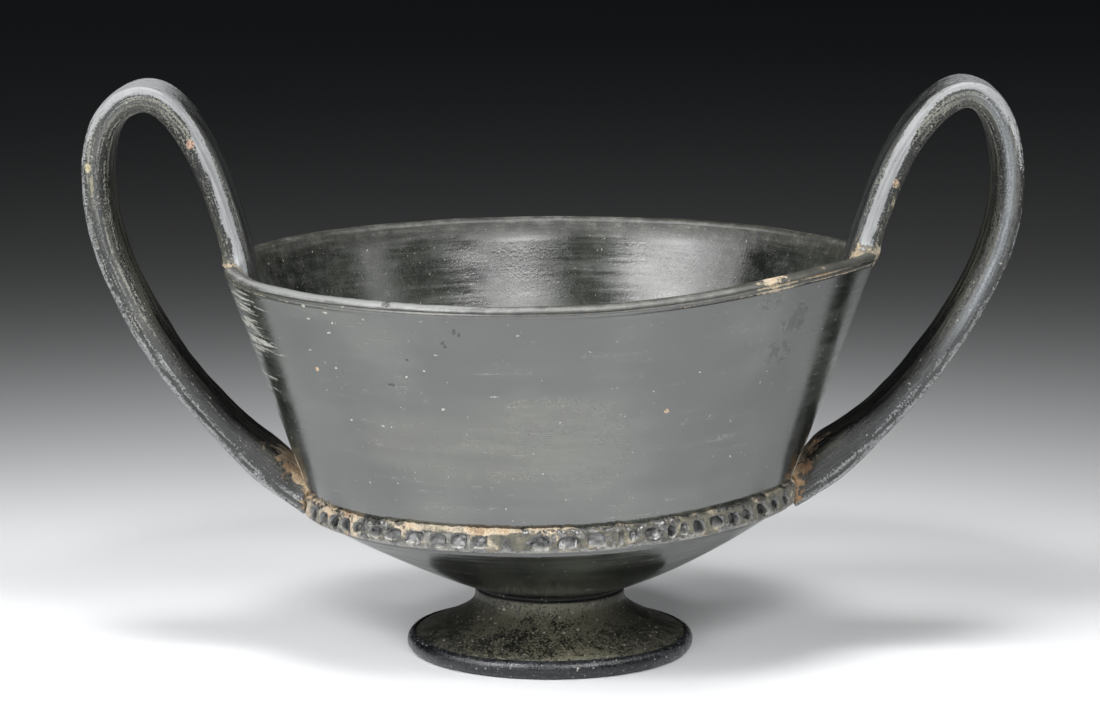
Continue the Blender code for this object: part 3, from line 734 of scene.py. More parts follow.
def handle(name, side, loop, material, seed):
    """A strap handle: a rounded rectangle carried along the loop's middle line. With s and n the side and the
    direction of a corner, a point lies off the line by the core's half size times s, plus the rounding times
    n. The outer margin is a broad bevel on the limb that rises from the rim and crisp beyond the crown, the
    inner one is soft. The faces are slightly crowned and uneven, a line is cut along the outer margin, and
    both roots spread into the bowl."""
    reach, rise, crown, drop, fillet = loop
    right = side > 0
    fine, ways = smooth_path(handle_path(side, reach, rise, crown, drop), STRAP_STATIONS * 8)
    lengths = run_along(fine)
    stations = np.linspace(0.0, lengths[-1], STRAP_STATIONS)
    place, way = (np.stack([np.interp(stations, lengths, values[:, k]) for k in (0, 1)], axis=1)
                  for values in (fine, ways))
    way /= np.linalg.norm(way, axis=1)[:, None]
    at = stations[:, None]
    share = at / lengths[-1]

    def uneven_round(columns, cell, step):
        """Noise that changes both round the strap and along it."""
        return lattice_noise(around, at, columns, cell, seed + step)

    def uneven_along(cell, step):
        """Noise that changes only along the strap."""
        return lattice_noise(around * 0.0, at, 3, cell, seed + step)

    half = STRAP_THICKNESS / 2.0
    in_wall, in_ridge = WALL_THICKNESS * 0.25, WALL_THICKNESS * 0.8
    thick_out, thick_in = (
        softened(np.interp(share, STRAP_KEYS, (at_rim, half, half, by_ridge, in_ridge, in_ridge)), 9)
        for at_rim, by_ridge in ((in_wall, half * 1.15), (in_wall * 0.3, half + fillet * 0.7)))
    from_rim = 1.0 - eased(share / 0.12)
    to_ridge = eased((share - STRAP_KEYS[2]) / (STRAP_KEYS[4] - STRAP_KEYS[2]))
    wide = STRAP_WIDTH + (ROOT_WIDTH - STRAP_WIDTH) * np.maximum(from_rim, to_ridge)
    wide = wide * (0.62 + 0.38 * eased(share / 0.042))
    sx, sy, nx, ny = (v[None, :] for v in strap_ring())
    around = (np.arange(sx.shape[1]) / sx.shape[1])[None, :]
    rising = 1.0 - eased((share - 0.22) / 0.16)
    crisp = np.minimum(OUTER_ARRIS + (OUTER_BEVEL - OUTER_ARRIS) * rising, thick_out * 0.85)
    soft = np.minimum(INNER_ROUNDING, thick_in * 0.9)
    outward = np.clip((sy + 1.0) / 2.0, 0.0, 1.0)
    rounding = crisp * outward + soft * (1.0 - outward)
    flatter = (np.abs(nx) + np.abs(ny)) ** (-0.9 * outward * rising)
    nx, ny = nx * flatter, ny * flatter
    core_high = (thick_out - crisp) * outward - (thick_in - soft) * (1.0 - outward)
    uneven = 0.0
    for high, columns, cell, step in STRAP_RELIEF:
        uneven = uneven + high * MM * uneven_round(columns, cell * MM, step)
    swell = 0.30 * MM * (1.0 - sx ** 2) * np.abs(ny)
    lay = core_high + ny * (rounding + swell + uneven)
    across = sx * (wide / 2.0 - rounding) + nx * (rounding + uneven)
    low_limb = eased((share - 0.60) / 0.14)
    margin = thick_out - 1.6 * MM + 0.34 * MM * uneven_along(6 * MM, 3)
    beyond = eased((share - 0.38) / 0.1) * (0.55 + 0.45 * uneven_along(11 * MM, 4))
    cut = (0.35 + 0.20 * low_limb) * MM * beyond * bell(lay, margin, 0.28 * MM) * np.abs(nx)
    across = across - np.sign(nx) * cut

    def at_place(off, along):
        """Points off the middle line, square to its way, and along the strap's width."""
        distance = place[:, :1] - way[:, 1:] * off
        height = place[:, 1:] + way[:, :1] * off
        return np.stack([side * distance, along * np.ones_like(distance), height], axis=-1)

    points = at_place(lay, across)
    gap = distance_to_bowl(points)
    hidden = np.clip(1.0 + gap / (0.7 * MM), 0.0, 1.0)
    flare = ROOT_FILLET * np.clip(1.0 - np.maximum(gap, 0.0) / (3.6 * MM), 0.0, 1.0) ** 2 * hidden
    by_rim = share < 0.5
    lay_share = np.where(ny < 0.0, np.where(by_rim, 0.35, 1.0), np.where(by_rim, 1.0, 0.12))
    points = at_place(lay + ny * flare * lay_share, across + nx * flare * 0.75)
    gap = np.maximum(distance_to_bowl(points), 0.0)

    # Stretches of the strap, along it and round it
    near_side = eased(0.5 - across / (6 * MM))
    side_face = eased((0.5 - np.abs(ny)) / 0.4)
    outer_face = eased((ny - 0.90) / 0.08)
    rising_low = 1.0 - eased((share - 0.15) / 0.16)
    past_crown = eased((share - 0.28) / 0.10)
    falling = eased((share - 0.34) / 0.12)
    low = eased((share - 0.80) / 0.12)
    crown_share = share[np.argmax(place[:, 1]), 0]
    on_crown = bell(share, crown_share + 0.02, 0.055) * outer_face
    inner_low = low_limb * eased((0.4 * MM - lay) / (1.2 * MM))
    inside_corner = eased(0.65 - ny) * low

    # What differs between the straps: the worn band's reach, the painted highlight, the rubbing and the
    # roots' earth
    worn_low, drawn_back, painted_highlight_share, unrubbed, crown_wear = (
        (2.2, 1.3, 0.95, 0.35, 0.5) if right else (1.7, 0.0, 0.22, 0.10, 0.95))
    top_reach, top_near = (3.8 * MM, 0.33) if right else (2.6 * MM, 0.20)
    low_less, low_hue = (0.12, 0.74) if right else (0.0, 0.68)

    drawn = drawn_back * eased((share - 0.40) / 0.08)
    inward = worn_low * rising_low + 0.9 * low_limb - drawn * (1.0 - low_limb)
    # The band beside the outer margin: worn grey grit, wider on the rising limb, where its light colour also
    # paints the bevel's highlight
    worn_band_and_painted_highlight = eased((lay - thick_out + (2.3 + 0.5 * uneven_along(5 * MM, 6) + inward) * MM) / (0.9 * MM))
    worn_band_and_painted_highlight = worn_band_and_painted_highlight * (0.22 + 0.78 * eased((0.985 - 0.38 * rising_low - ny) / 0.12))
    beside_line = 1.0 - bell(lay, margin, 0.30 * MM) * falling
    # Painted highlight: a share of bluish light grey down the middle of the near face past the crown, and on
    # the bevel band of the rising limb
    middle = bell(lay, -0.1 * MM, 1.15 * MM) * side_face * (0.3 + 0.7 * near_side)
    painted_highlight = middle * past_crown * (1.0 - 0.85 * low_limb) * (1.0 - low) * painted_highlight_share
    painted_highlight = painted_highlight + 0.55 * rising_low * worn_band_and_painted_highlight
    dull = (0.34 + 0.10 * eased(-ny * 1.2)) * (1.0 - 0.80 * low_limb) * (1.0 - 0.50 * outer_face)
    rubbed = (0.40 + 0.04 * side_face) * (1.0 - 0.40 * low_limb) * (1.0 - 0.50 * outer_face)
    rubbed = rubbed * (1.0 - unrubbed * falling)
    worn = worn_band_and_painted_highlight * (0.80 - 0.26 * falling + 0.03 * low_limb) * beside_line + crown_wear * on_crown
    patchy = 0.5 + 0.5 * uneven_round(9, 5 * MM, 5)
    at_low = np.exp(-(gap / (3.4 * MM)) ** 1.5) * inside_corner * (0.42 + 0.26 * near_side - low_less)
    at_top = np.exp(-(gap / top_reach) ** 1.5) * (1.0 - low) * (0.28 + top_near * near_side)
    streaks = 0.34 * low * inside_corner * np.exp(-gap / (9 * MM)) + 0.16 * eased(-ny * 1.4) + 0.05
    fields = {
        "earth": at_low + at_top * (0.6 + 0.6 * patchy) + streaks * patchy,
        "ochre": low * low_hue + (1.0 - low) * 0.36 + 0.0 * gap,
        "matt": dull + 0.20 * inner_low,
        "scuff": rubbed + 0.03 * inner_low,
        "wear": worn,
        "painted_highlight": painted_highlight,
    }
    fields = {label: np.clip(values, 0.0, 1.0) for label, values in fields.items()}
    grain = np.dstack([across / (1.0 * MM), lay / (1.0 * MM), at / (16 * MM) + 0.0 * lay])
    return surface(name, points, material, fields, grain)


# Materials

FRAYING = 0.9 * MM

# Refractive index that gives the burnished clay its gloss, duller on the straps and dullest on the foot
CLAY_INDEX = 2.06
STRAP_INDEX = 1.78
FOOT_INDEX = 1.58

# Colours of the earth from olive over cream to orange: place on the scale, red, green and blue
EARTH_HUES = ((0.0, 0.075, 0.075, 0.050), (0.22, 0.165, 0.150, 0.100), (0.40, 0.58, 0.49, 0.36),
              (0.58, 0.60, 0.46, 0.30), (0.76, 0.40, 0.26, 0.14), (1.0, 0.34, 0.17, 0.07))
EARTH_SHADE = (0.035, 0.032, 0.022, 1)


class Finish:
    """One material under construction, with short calls that add its shader nodes. A place frayed by a fine
    noise makes edges ragged, and the torn grain does the same for strokes."""

    def __init__(self, name):
        self.material = bpy.data.materials.new(name)
        self.material.use_nodes = True
        self.tree = self.material.node_tree
        self.shader = self.tree.nodes["Principled BSDF"]
        self.place = self.add("ShaderNodeTexCoord").outputs["Object"]
        self.grain = self.field("grain", "Vector")
        fray = self.noise(self.place, 1500.0, 2.0, output="Color")
        jitter = self.vectors("SUBTRACT", fray, (0.5, 0.5, 0.5))
        self.frayed = self.vectors("ADD", self.place, self.stretched(jitter, [FRAYING] * 3))
        self.torn = self.vectors("ADD", self.grain, self.stretched(jitter, (0.12, 0.12, 0.55)))
        self.crumble = self.noise(self.place, 1100.0, 3.0, 0.6)

    def add(self, kind, **settings):
        node = self.tree.nodes.new(kind)
        for key, value in settings.items():
            setattr(node, key, value)
        return node

    def feed(self, socket, source):
        if isinstance(source, bpy.types.NodeSocket):
            self.tree.links.new(source, socket)
        else:
            socket.default_value = source

    def field(self, name, output="Fac"):
        return self.add("ShaderNodeAttribute", attribute_name=name).outputs[output]

    def maths(self, operation, *sources, clamp=False):
        node = self.add("ShaderNodeMath", operation=operation, use_clamp=clamp)
        for socket, source in zip(node.inputs, sources):
            self.feed(socket, source)
        return node.outputs[0]

    def times(self, first, second):
        return self.maths("MULTIPLY", first, second)

    def plus(self, first, second, clamp=False):
        return self.maths("ADD", first, second, clamp=clamp)

    def blended(self, *terms):
        """Weighted sum of sources: each term is a source and its weight."""
        total = self.times(*terms[0])
        for source, weight in terms[1:]:
            total = self.maths("MULTIPLY_ADD", source, weight, total)
        return total

    def vectors(self, operation, *sources):
        node = self.add("ShaderNodeVectorMath", operation=operation)
        for socket, source in zip(node.inputs, sources):
            self.feed(socket, source)
        return node.outputs["Value" if operation == "LENGTH" else "Vector"]

    def stretched(self, vector, factors):
        return self.vectors("MULTIPLY", vector, factors)

    def noise(self, vector, scale, detail=3.0, rough=0.5, output="Fac"):
        node = self.add("ShaderNodeTexNoise")
        self.feed(node.inputs["Vector"], vector)
        for socket, value in (("Scale", scale), ("Detail", detail), ("Roughness", rough)):
            node.inputs[socket].default_value = value
        return node.outputs[output]

    def ramp(self, value, low, high, out_low=0.0, out_high=1.0):
        node = self.add("ShaderNodeMapRange", interpolation_type="SMOOTHSTEP")
        for socket, source in zip(node.inputs, (value, low, high, out_low, out_high)):
            self.feed(socket, source)
        return node.outputs["Result"]

    def cover(self, noise, amount, soft=0.03):
        """Ragged cover: where a noise passes a threshold that sinks from 0.70 to 0.30 with the amount."""
        return self.ramp(self.maths("MULTIPLY_ADD", amount, 0.40, noise), 0.70 - soft, 0.70 + soft)

    def mix(self, share, first, second, kind="RGBA", places=(0, 6, 7), result=2):
        node = self.add("ShaderNodeMix", data_type=kind)
        for at, source in zip(places, (share, first, second)):
            self.feed(node.inputs[at], source)
        return node.outputs[result]

    def mix_value(self, share, first, second):
        return self.mix(share, first, second, "FLOAT", (0, 2, 3), 0)

    def specks(self, vector, scale, radius, share):
        """Scattered grains: the middles of a share of a Voronoi pattern's cells, each with its own size."""
        cells = self.add("ShaderNodeTexVoronoi")
        self.feed(cells.inputs["Vector"], vector)
        cells.inputs["Scale"].default_value = scale
        chance = self.add("ShaderNodeSeparateColor")
        self.feed(chance.inputs[0], cells.outputs["Color"])
        size = self.maths("MULTIPLY_ADD", chance.outputs[1], radius * 0.7, radius * 0.3)
        inside = self.ramp(self.maths("SUBTRACT", size, cells.outputs["Distance"]), 0.0, radius * 0.18)
        return self.times(inside, self.maths("LESS_THAN", chance.outputs[0], share))

    def blotch(self, centre, radii, ragged=0.25):
        """One mark: inside an ellipsoid about a place, its edge made ragged by noise."""
        away = self.vectors("SUBTRACT", self.frayed, tuple(centre))
        scaled = self.vectors("DIVIDE", away, tuple(radii))
        wobble = self.maths("MULTIPLY_ADD", self.crumble, ragged * 2.0, 1.0 - ragged)
        return self.ramp(self.maths("SUBTRACT", wobble, self.vectors("LENGTH", scaled)), 0.0, 0.25)

    def highest(self, masks):
        """The largest of several masks at each place."""
        result = masks[0]
        for mask in masks[1:]:
            result = self.maths("MAXIMUM", result, mask)
        return result

    def with_earth(self, colour, rough, relief, rise=0.6):
        """Earth over a finish: where its amount and a crumbly noise together pass a threshold, in hues from
        olive over cream to orange, grainy, matt and raised by its rise in millimetres."""
        crumbs = self.noise(self.place, 620.0, 6.0, 0.70)
        patches = self.noise(self.place, 190.0, 4.0, 0.60)
        mask = self.ramp(self.blended((self.field("earth"), 1.0), (crumbs, 1.35), (patches, 0.9)), 1.62, 1.74)
        toned = self.plus(self.field("ochre"), self.maths("MULTIPLY_ADD", patches, 1.3, -0.65), clamp=True)
        shades = self.add("ShaderNodeValToRGB")
        self.feed(shades.inputs["Fac"], toned)
        while len(shades.color_ramp.elements) < len(EARTH_HUES):
            shades.color_ramp.elements.new(0.5)
        for element, (place, *shade) in zip(shades.color_ramp.elements, EARTH_HUES):
            element.position = place
            element.color = (*shade, 1)
        hue = shades.outputs["Color"]
        grains = self.ramp(self.noise(self.place, 2300.0, 4.0, 0.7), 0.40, 0.57)
        earth = self.mix(grains, self.mix(0.50, hue, EARTH_SHADE), hue)
        raised = self.times(mask, self.maths("MULTIPLY_ADD", crumbs, rise, 0.05))
        return self.mix(mask, colour, earth), self.mix_value(mask, rough, 0.92), self.plus(relief, raised)

    def finished(self, colour, rough, relief, index=CLAY_INDEX):
        """Sets colour, roughness and index, and turns a relief in millimetres into the fine bump."""
        self.feed(self.shader.inputs["Base Color"], colour)
        self.feed(self.shader.inputs["Roughness"], rough)
        self.shader.inputs["IOR"].default_value = index
        bump = self.add("ShaderNodeBump")
        bump.inputs["Strength"].default_value = 1.0
        bump.inputs["Distance"].default_value = MM
        self.feed(bump.inputs["Height"], relief)
        self.feed(self.shader.inputs["Normal"], bump.outputs["Normal"])
        return self.material


# Marks on the wall: column and row in the photograph, half length and half height in millimetres
TAN_CHIPS = ((667, 411, 0.8, 0.6), (317, 369, 0.6, 0.6))
PALE_CHIPS = ((383, 426, 0.4, 0.22), (391, 427, 0.3, 0.25), (443, 409, 0.3, 0.3), (325, 313, 0.6, 0.22),
              (336, 368, 0.35, 0.4), (424, 371, 0.3, 0.3), (303, 306, 0.4, 0.3),
              (308, 319, 0.5, 0.22), (332, 323, 0.2, 0.45), (329, 333, 0.5, 0.25), (310, 350, 0.3, 0.2),
              (342, 307, 0.22, 0.2), (363, 319, 0.25, 0.2), (420, 322, 0.22, 0.2), (407, 377, 0.3, 0.2),
              (436, 355, 0.55, 0.16), (352, 420, 0.3, 0.2), (518, 336, 0.3, 0.25), (590, 352, 0.4, 0.15),
              (612, 388, 0.22, 0.2), (700, 372, 0.3, 0.2), (767, 371, 0.4, 0.22), (560, 423, 0.2, 0.2))
DARK_PITS = ((454, 332, 0.35, 0.7), (459, 335, 0.3, 0.5), (443, 343, 0.4, 0.5), (445, 347, 0.3, 0.4),
             (407, 360, 0.35, 0.35), (392, 385, 0.9, 0.3), (385, 304, 1.3, 1.0))
OLIVE_HAZE = ((470, 452, 30.0, 9.0), (540, 425, 18.0, 7.0))
DARK_BLOTCHES = ((795, 318, 5.0, 4.5), (778, 352, 5.0, 3.5), (772, 300, 3.5, 3.0))
SCRATCHES = ((494, 397, 1.1, 0.18),)


def marks(finish, seen, ragged=0.35):
    """The marks of one list as a single mask, each a flat ellipsoid set into the wall."""
    masks = []
    for column, row, length, height in seen:
        centre = on_wall(column, row)
        masks.append(finish.blotch(centre, (length * MM, max(length, 1.5) * MM, height * MM), ragged))
    return finish.highest(masks)


def burnished_clay():
    """The bowl. Black clay with a thin uneven film in strokes that run round the pot, dull where it is matt;
    scratches, white specks and chips; earth in the cuts; greyer along the worn lip. Less film and fewer
    specks on the underside paint shade there."""
    f = Finish("burnished_black")
    matt, scuff, wear, dusty = f.field("matt"), f.field("scuff"), f.field("wear"), f.field("dusty")
    fine = f.noise(f.grain, 1.0, 5.0, 0.62)
    medium = f.noise(f.stretched(f.grain, (0.7, 0.7, 0.22)), 1.0, 4.0, 0.55)
    cloud = f.noise(f.place, 26.0, 4.0, 0.55)
    tiny = f.noise(f.place, 2400.0, 3.0, 0.65)
    mottle = f.noise(f.place, 320.0, 5.0, 0.66)
    peel = f.noise(f.place, 1500.0, 3.0, 0.62)

    # The dusty field is minus one on the underside, where the darker film paints shade
    film = f.blended((fine, 0.16), (medium, 0.26), (cloud, 0.78), (dusty, 0.10))
    colour = f.mix(f.ramp(film, 0.48, 0.78), (0.006, 0.0075, 0.0064, 1), (0.054, 0.061, 0.049, 1))
    powder = f.maths("MULTIPLY", dusty, f.ramp(f.plus(mottle, tiny), 0.95, 1.13, 0.16, 1.0), clamp=True)
    colour = f.mix(f.times(powder, 0.46), colour, (0.15, 0.15, 0.145, 1))
    haze = f.ramp(f.blended((medium, 0.5), (mottle, 0.5)), 0.36, 0.66, 0.10, 0.30)
    colour = f.mix(f.times(marks(f, OLIVE_HAZE, 0.5), haze), colour, (0.105, 0.098, 0.062, 1))
    blotches = f.times(marks(f, DARK_BLOTCHES, 0.6), f.ramp(mottle, 0.42, 0.56))
    dull = f.ramp(f.blended((mottle, 0.45), (tiny, 0.55)), 0.42, 0.60)
    colour = f.mix(matt, colour, f.mix(dull, (0.007, 0.0075, 0.006, 1), (0.085, 0.082, 0.056, 1)))
    rough = f.ramp(f.blended((medium, 0.6), (fine, 0.6), (cloud, 0.4)), 0.66, 0.94, 0.10, 0.23)
    rough = f.blended((rough, 1.0), (matt, 0.60), (blotches, 0.35))

    worn = f.cover(f.blended((fine, 0.5), (mottle, 0.5)), wear, 0.14)
    colour = f.mix(worn, colour, (0.20, 0.205, 0.20, 1))
    rough = f.mix_value(worn, rough, 0.55)

    clumps = f.ramp(f.noise(f.place, 120.0, 2.0, 0.6), 0.40, 0.72, 0.2, 2.0)
    streaks = f.noise(f.stretched(f.torn, (0.9, 0.9, 1.25)), 1.0, 4.0, 0.70)
    scratches = f.times(f.cover(streaks, f.maths("MULTIPLY_ADD", scuff, 0.70, -0.26), 0.018),
                        f.ramp(mottle, 0.38, 0.47))
    grains = f.specks(f.frayed, 620.0, 0.17, f.times(f.maths("MULTIPLY_ADD", scuff, 0.34, 0.10), clumps))
    dust_share = f.times(f.maths("MULTIPLY_ADD", scuff, 0.35, 0.085), clumps)
    dust = f.specks(f.frayed, 1100.0, 0.22, f.blended((dust_share, 1.0), (dusty, 0.16)))
    pale = f.highest([f.times(scratches, 0.8), f.times(grains, 0.8), f.times(dust, 0.45),
                      f.times(marks(f, PALE_CHIPS), 0.85), f.times(marks(f, SCRATCHES), 0.6)])
    colour = f.mix(pale, colour, (0.50, 0.50, 0.44, 1))
    rough = f.mix_value(pale, rough, 0.8)
    chips = marks(f, TAN_CHIPS)
    colour = f.mix(f.times(chips, f.ramp(peel, 0.35, 0.55, 0.3, 1.0)), colour, (0.50, 0.36, 0.22, 1))
    pits = marks(f, DARK_PITS)
    colour = f.mix(pits, colour, (0.010, 0.012, 0.016, 1))
    rough = f.plus(rough, f.times(f.maths("MAXIMUM", pits, chips), 0.5), clamp=True)
    grainy = f.times(f.blended((mottle, 0.16), (tiny, 0.06)), matt)
    standing = f.maths("MAXIMUM", pale, chips)
    relief = f.blended((fine, 0.012), (peel, 0.026), (pits, -0.25), (grainy, 1.0), (standing, 0.03))
    return f.finished(*f.with_earth(colour, rough, relief))


def dull_foot():
    """The foot. Bare clay, black with olive patches and grains of dust; smoother and bluish on its edge;
    near black in the joint's groove, a painted shade.
    """
    f = Finish("dull_foot")
    matt = f.field("matt")
    patches = f.noise(f.place, 95.0, 3.0, 0.6)
    mottle = f.noise(f.place, 420.0, 4.0, 0.66)
    tiny = f.noise(f.place, 1900.0, 3.0, 0.7)
    rings = f.noise(f.stretched(f.grain, (1.0, 1.0, 0.7)), 1.0, 3.0, 0.6)
    dusty = f.blended((patches, 0.26), (mottle, 0.26), (tiny, 0.48), (f.field("dusty"), 0.05))
    olive = f.times(f.ramp(dusty, 0.46, 0.56), f.maths("MULTIPLY_ADD", f.field("scuff"), 0.80, 0.20))
    colour = f.mix(olive, (0.004, 0.0045, 0.004, 1), (0.165, 0.158, 0.108, 1))
    # Near black in the joint groove under the bowl: painted shade
    colour = f.mix(f.ramp(f.field("wear"), 0.2, 0.7), colour, (0.002, 0.002, 0.002, 1))
    smooth = f.maths("SUBTRACT", 1.0, f.ramp(matt, 0.66, 0.98))
    turned_marks = f.ramp(f.blended((rings, 0.5), (tiny, 0.5)), 0.46, 0.60)
    edge = f.mix(turned_marks, (0.005, 0.006, 0.008, 1), (0.042, 0.045, 0.050, 1))
    colour = f.mix(smooth, colour, edge)
    rough = f.blended((f.ramp(mottle, 0.4, 0.6, 0.42, 0.58), 1.0), (smooth, -0.24))
    grains = f.specks(f.frayed, 640.0, 0.24, 0.20)
    dust = f.specks(f.frayed, 1000.0, 0.30, 0.34)
    pale = f.maths("MAXIMUM", f.times(grains, 0.8), f.times(dust, 0.55))
    colour = f.mix(pale, colour, (0.50, 0.49, 0.42, 1))
    rough = f.mix_value(pale, rough, 0.8)
    relief = f.blended((mottle, 0.15), (tiny, 0.10), (rings, 0.08), (pale, 0.03))
    return f.finished(colour, rough, relief, FOOT_INDEX)


def gritty_ridge():
    """The notched ridge. Glossy clay in the notches, grey and gritty between them, with crumbly earth."""
    f = Finish("gritty_ridge")
    wear, scuff = f.field("wear"), f.field("scuff")
    mottle = f.noise(f.place, 380.0, 5.0, 0.68)
    tiny = f.noise(f.place, 1700.0, 4.0, 0.70)
    colour = f.mix(f.ramp(mottle, 0.42, 0.70), (0.012, 0.013, 0.013, 1), (0.085, 0.088, 0.085, 1))
    rough = f.ramp(mottle, 0.35, 0.65, 0.22, 0.42)
    worn = f.times(wear, f.ramp(f.blended((mottle, 1.0), (tiny, 0.6)), 0.66, 0.90))
    colour = f.mix(worn, colour, (0.42, 0.40, 0.34, 1))
    rough = f.mix_value(worn, rough, 0.7)
    pale = f.specks(f.frayed, 620.0, 0.17, f.maths("MULTIPLY_ADD", scuff, 0.5, 0.05))
    colour = f.mix(pale, colour, (0.60, 0.57, 0.48, 1))
    return f.finished(*f.with_earth(colour, rough, f.times(mottle, 0.16), rise=0.7))


# Marks on the near edges of the straps, each with its colour besides
STRAP_MARKS = ((190, 144, 1.0, 1.2, (0.60, 0.38, 0.26, 1)), (88, 168, 0.8, 1.2, (0.58, 0.50, 0.30, 1)),
               (92, 186, 0.4, 3.0, (0.36, 0.33, 0.22, 1)), (896, 183, 0.9, 1.1, (0.52, 0.38, 0.25, 1)),
               (894, 205, 0.5, 2.2, (0.40, 0.36, 0.25, 1)), (152, 313, 0.5, 0.7, (0.50, 0.45, 0.26, 1)),
               (243, 421, 0.45, 0.4, (0.46, 0.42, 0.26, 1)), (247, 425, 0.5, 0.5, (0.52, 0.46, 0.28, 1)),
               (252, 430, 0.6, 0.45, (0.55, 0.48, 0.30, 1)), (257, 435, 0.5, 0.6, (0.60, 0.54, 0.38, 1)))


def worn_strap():
    """The straps. Black clay rubbed grey in rough strokes along the strap, greyest and gritty beside the
    outer margin, olive and dull on the inner side. A painted bluish highlight lies down the middle of the
    near face past the crown and on the rising limb's bevel, where the light grey grit is partly painted
    highlight too."""
    f = Finish("worn_strap")
    matt, scuff, wear = f.field("matt"), f.field("scuff"), f.field("wear")
    grit = f.noise(f.stretched(f.torn, (1.3, 1.3, 4.0)), 1.0, 4.0, 0.72)
    stroke = f.noise(f.stretched(f.grain, (1.5, 1.5, 0.8)), 1.0, 3.0, 0.66)
    medium = f.noise(f.stretched(f.grain, (0.40, 0.40, 0.6)), 1.0, 3.0, 0.6)
    salt = f.noise(f.place, 1900.0, 3.0, 0.70)
    colour = f.mix(f.ramp(medium, 0.40, 0.68), (0.007, 0.008, 0.0075, 1), (0.026, 0.027, 0.023, 1))
    olive = f.cover(f.blended((medium, 0.4), (salt, 0.6)), matt, 0.06)
    colour = f.mix(olive, colour, (0.075, 0.075, 0.050, 1))
    rubbed = f.blended((salt, 0.38), (grit, 0.14), (stroke, 0.48))
    # Painted highlight: bluish light grey down the middle of the near face and on the rising limb's bevel
    painted_highlight = f.field("painted_highlight")
    bluish = f.times(painted_highlight, f.ramp(f.blended((stroke, 0.6), (salt, 0.4)), 0.38, 0.60, 0.30, 0.95))
    colour = f.mix(bluish, colour, (0.34, 0.365, 0.39, 1))
    speckled = f.times(f.cover(rubbed, scuff, 0.03), f.maths("MULTIPLY_ADD", painted_highlight, -0.7, 1.0))
    colour = f.mix(f.times(speckled, 0.9), colour, (0.27, 0.27, 0.225, 1))
    # Light grey grit beside the outer margin: wear, and on the rising limb's bevel a painted highlight
    gritty = f.cover(f.blended((grit, 0.4), (salt, 0.6)), wear, 0.05)
    light = f.times(f.ramp(stroke, 0.35, 0.65, 0.55, 1.0), f.ramp(wear, 0.4, 0.9, 0.72, 1.0))
    colour = f.mix(f.times(gritty, light), colour, (0.43, 0.44, 0.45, 1))
    rough = f.blended((f.ramp(medium, 0.35, 0.65, 0.22, 0.32), 1.0), (olive, 0.25))
    rough = f.plus(rough, f.times(f.maths("MAXIMUM", speckled, gritty), 0.22), clamp=True)
    pale = f.specks(f.frayed, 720.0, 0.18, f.maths("MULTIPLY_ADD", scuff, 0.20, 0.15))
    colour = f.mix(f.times(pale, 0.8), colour, (0.56, 0.55, 0.48, 1))
    for column, row, length, height, shade in STRAP_MARKS:
        centre = seen_upright(column, row, -STRAP_WIDTH / 2.0)
        mark = f.blotch(centre, (length * MM, 4.0 * MM, height * MM), 0.6)
        colour = f.mix(f.times(mark, f.ramp(salt, 0.38, 0.55, 0.25, 1.0)), colour, shade)
    relief = f.blended((stroke, 0.22), (medium, 0.10), (grit, 0.30), (salt, 0.16))
    return f.finished(*f.with_earth(colour, rough, relief), STRAP_INDEX)


# The studio

FLOOR_HALF = 6.0

# Lamps: name, azimuth and elevation in degrees, distance, size, watts, place aimed at, spread in degrees
LAMPS = (
    ("key_left", -42.0, 46.0, 1.2, (0.54, 0.54), 0.69, (-0.10, -0.19, 0.0), 28.0),
    ("key_right", 38.0, 46.0, 1.2, (0.54, 0.54), 0.57, (0.02, -0.22, 0.0), 28.0),
    ("overhead", 0.0, 84.0, 1.1, (0.54, 0.36), 0.50, (0.0, -0.14, 0.0), 28.0),
    ("near_pool", 0.0, 72.0, 1.1, (0.50, 0.30), 0.80, (0.0, -0.78, 0.0), 30.0),
    ("front_strip", 12.0, 30.0, 1.3, (0.80, 0.40), 0.27, (0.0, -0.08, 0.0), 44.0),
    ("left_strip", -53.0, 27.5, 1.2, (1.10, 0.40), 0.46, (0.0, -0.08, 0.0), 50.0),
    ("right_high", 80.0, 44.0, 1.1, (0.26, 0.50), 0.16, (0.0, 0.0, 0.10), 40.0),
    ("left_high", -80.0, 44.0, 1.1, (0.26, 0.50), 0.30, (0.0, 0.0, 0.10), 40.0),
    ("right_side", 81.0, 20.0, 1.1, (0.26, 0.40), 0.018, (0.0, 0.0, 0.06), 46.0),
    ("left_side", -82.0, 20.0, 1.1, (0.26, 0.40), 0.03, (0.0, 0.0, 0.06), 46.0))


def floor():
    """A wide plain pale floor under the foot."""
    corners = [(x * FLOOR_HALF, y * FLOOR_HALF, 0) for x, y in ((-1, -1), (1, -1), (1, 1), (-1, 1))]
    mesh = bpy.data.meshes.new("studio_floor")
    mesh.from_pydata(corners, [], [(0, 1, 2, 3)])
    piece = bpy.data.objects.new("studio_floor", mesh)
    bpy.context.scene.collection.objects.link(piece)
    material = bpy.data.materials.new("pale_paper")
    material.use_nodes = True
    shader = material.node_tree.nodes["Principled BSDF"]
    shader.inputs["Base Color"].default_value = (0.80, 0.81, 0.82, 1)
    shader.inputs["Roughness"].default_value = 0.9
    shader.inputs["Specular IOR Level"].default_value = 0.1
    mesh.materials.append(material)


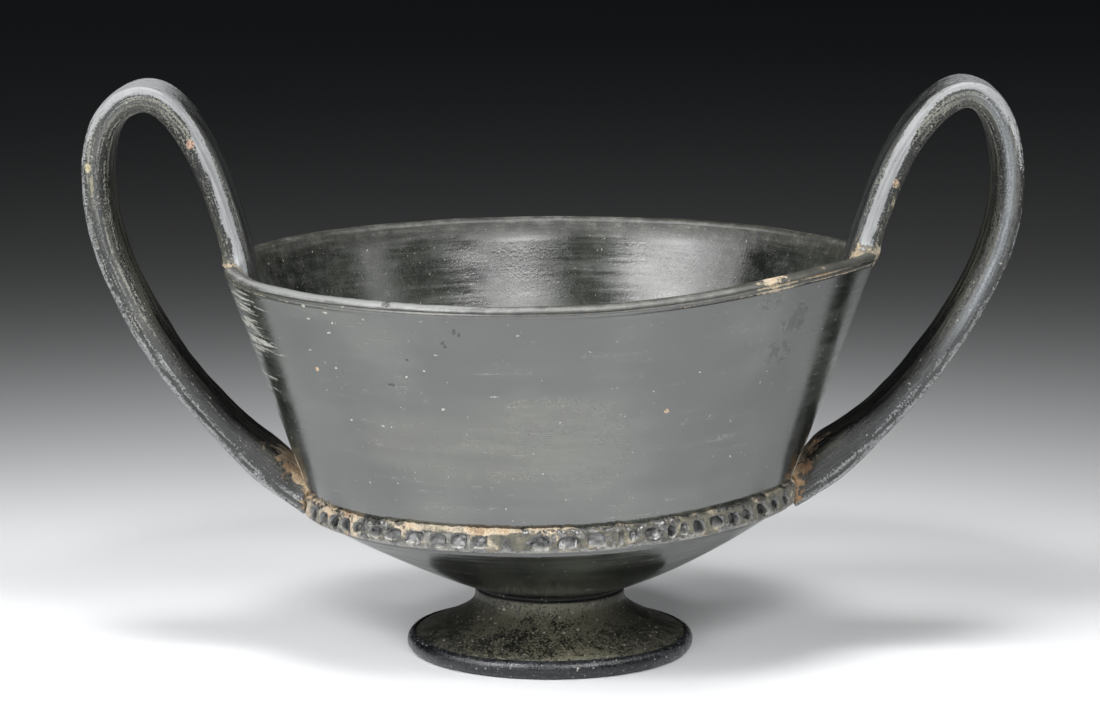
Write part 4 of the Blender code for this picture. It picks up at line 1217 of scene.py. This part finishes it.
def softbox(name, azimuth, elevation, distance, size, watts, aim, spread):
    """An area light at an azimuth from the viewer's side, to the right positive, and an elevation."""
    a, e = math.radians(azimuth), math.radians(elevation)
    aim = Vector(aim)
    place = aim + Vector((math.sin(a) * math.cos(e), -math.cos(a) * math.cos(e), math.sin(e))) * distance
    lamp = bpy.data.lights.new(name, "AREA")
    lamp.shape = "RECTANGLE"
    lamp.size, lamp.size_y = size
    lamp.energy = watts
    lamp.spread = math.radians(spread)
    holder = bpy.data.objects.new(name, lamp)
    holder.location = place
    holder.rotation_euler = (aim - place).to_track_quat("-Z", "Y").to_euler()
    holder.visible_camera = False
    bpy.context.scene.collection.objects.link(holder)


def studio():
    """Two key lights at the viewer's shoulders and one above that lay a pool of light on the floor, one that
    lays a second pool towards the viewer, for the straps to mirror, two broad strips that the inside of the
    bowl mirrors, two high ones at the sides for the bevels, two faint low ones and a nearly dark room."""
    for lamp in LAMPS:
        softbox(*lamp)
    world = bpy.data.worlds.new("studio")
    bpy.context.scene.world = world
    world.use_nodes = True
    world.node_tree.nodes["Background"].inputs["Color"].default_value = (0.006, 0.0065, 0.007, 1)


def camera():
    """Where the photograph was taken from: a long lens, a little under ten degrees above the horizon."""
    lens = bpy.data.cameras.new("camera")
    lens.sensor_width = 36.0
    lens.lens = FOCAL_PIXELS / FRAME_WIDTH * lens.sensor_width
    lens.shift_y = LENS_SHIFT
    holder = bpy.data.objects.new("camera", lens)
    bpy.context.scene.collection.objects.link(holder)
    aim = Vector((0.0, 0.0, VIEW_AIM_HEIGHT))
    holder.location = aim + Vector((0.0, -math.cos(VIEW_DIP), math.sin(VIEW_DIP))) * VIEW_DISTANCE
    holder.rotation_euler = (aim - holder.location).to_track_quat("-Z", "Y").to_euler()
    bpy.context.scene.camera = holder


camera()
bowl(burnished_clay(), dull_foot())
ridge(gritty_ridge())
strap_finish = worn_strap()
handle("left_handle", -1.0, LEFT_LOOP, strap_finish, 41)
handle("right_handle", 1.0, RIGHT_LOOP, strap_finish, 51)
floor()
studio()
bpy.context.scene.view_settings.view_transform = "Standard"
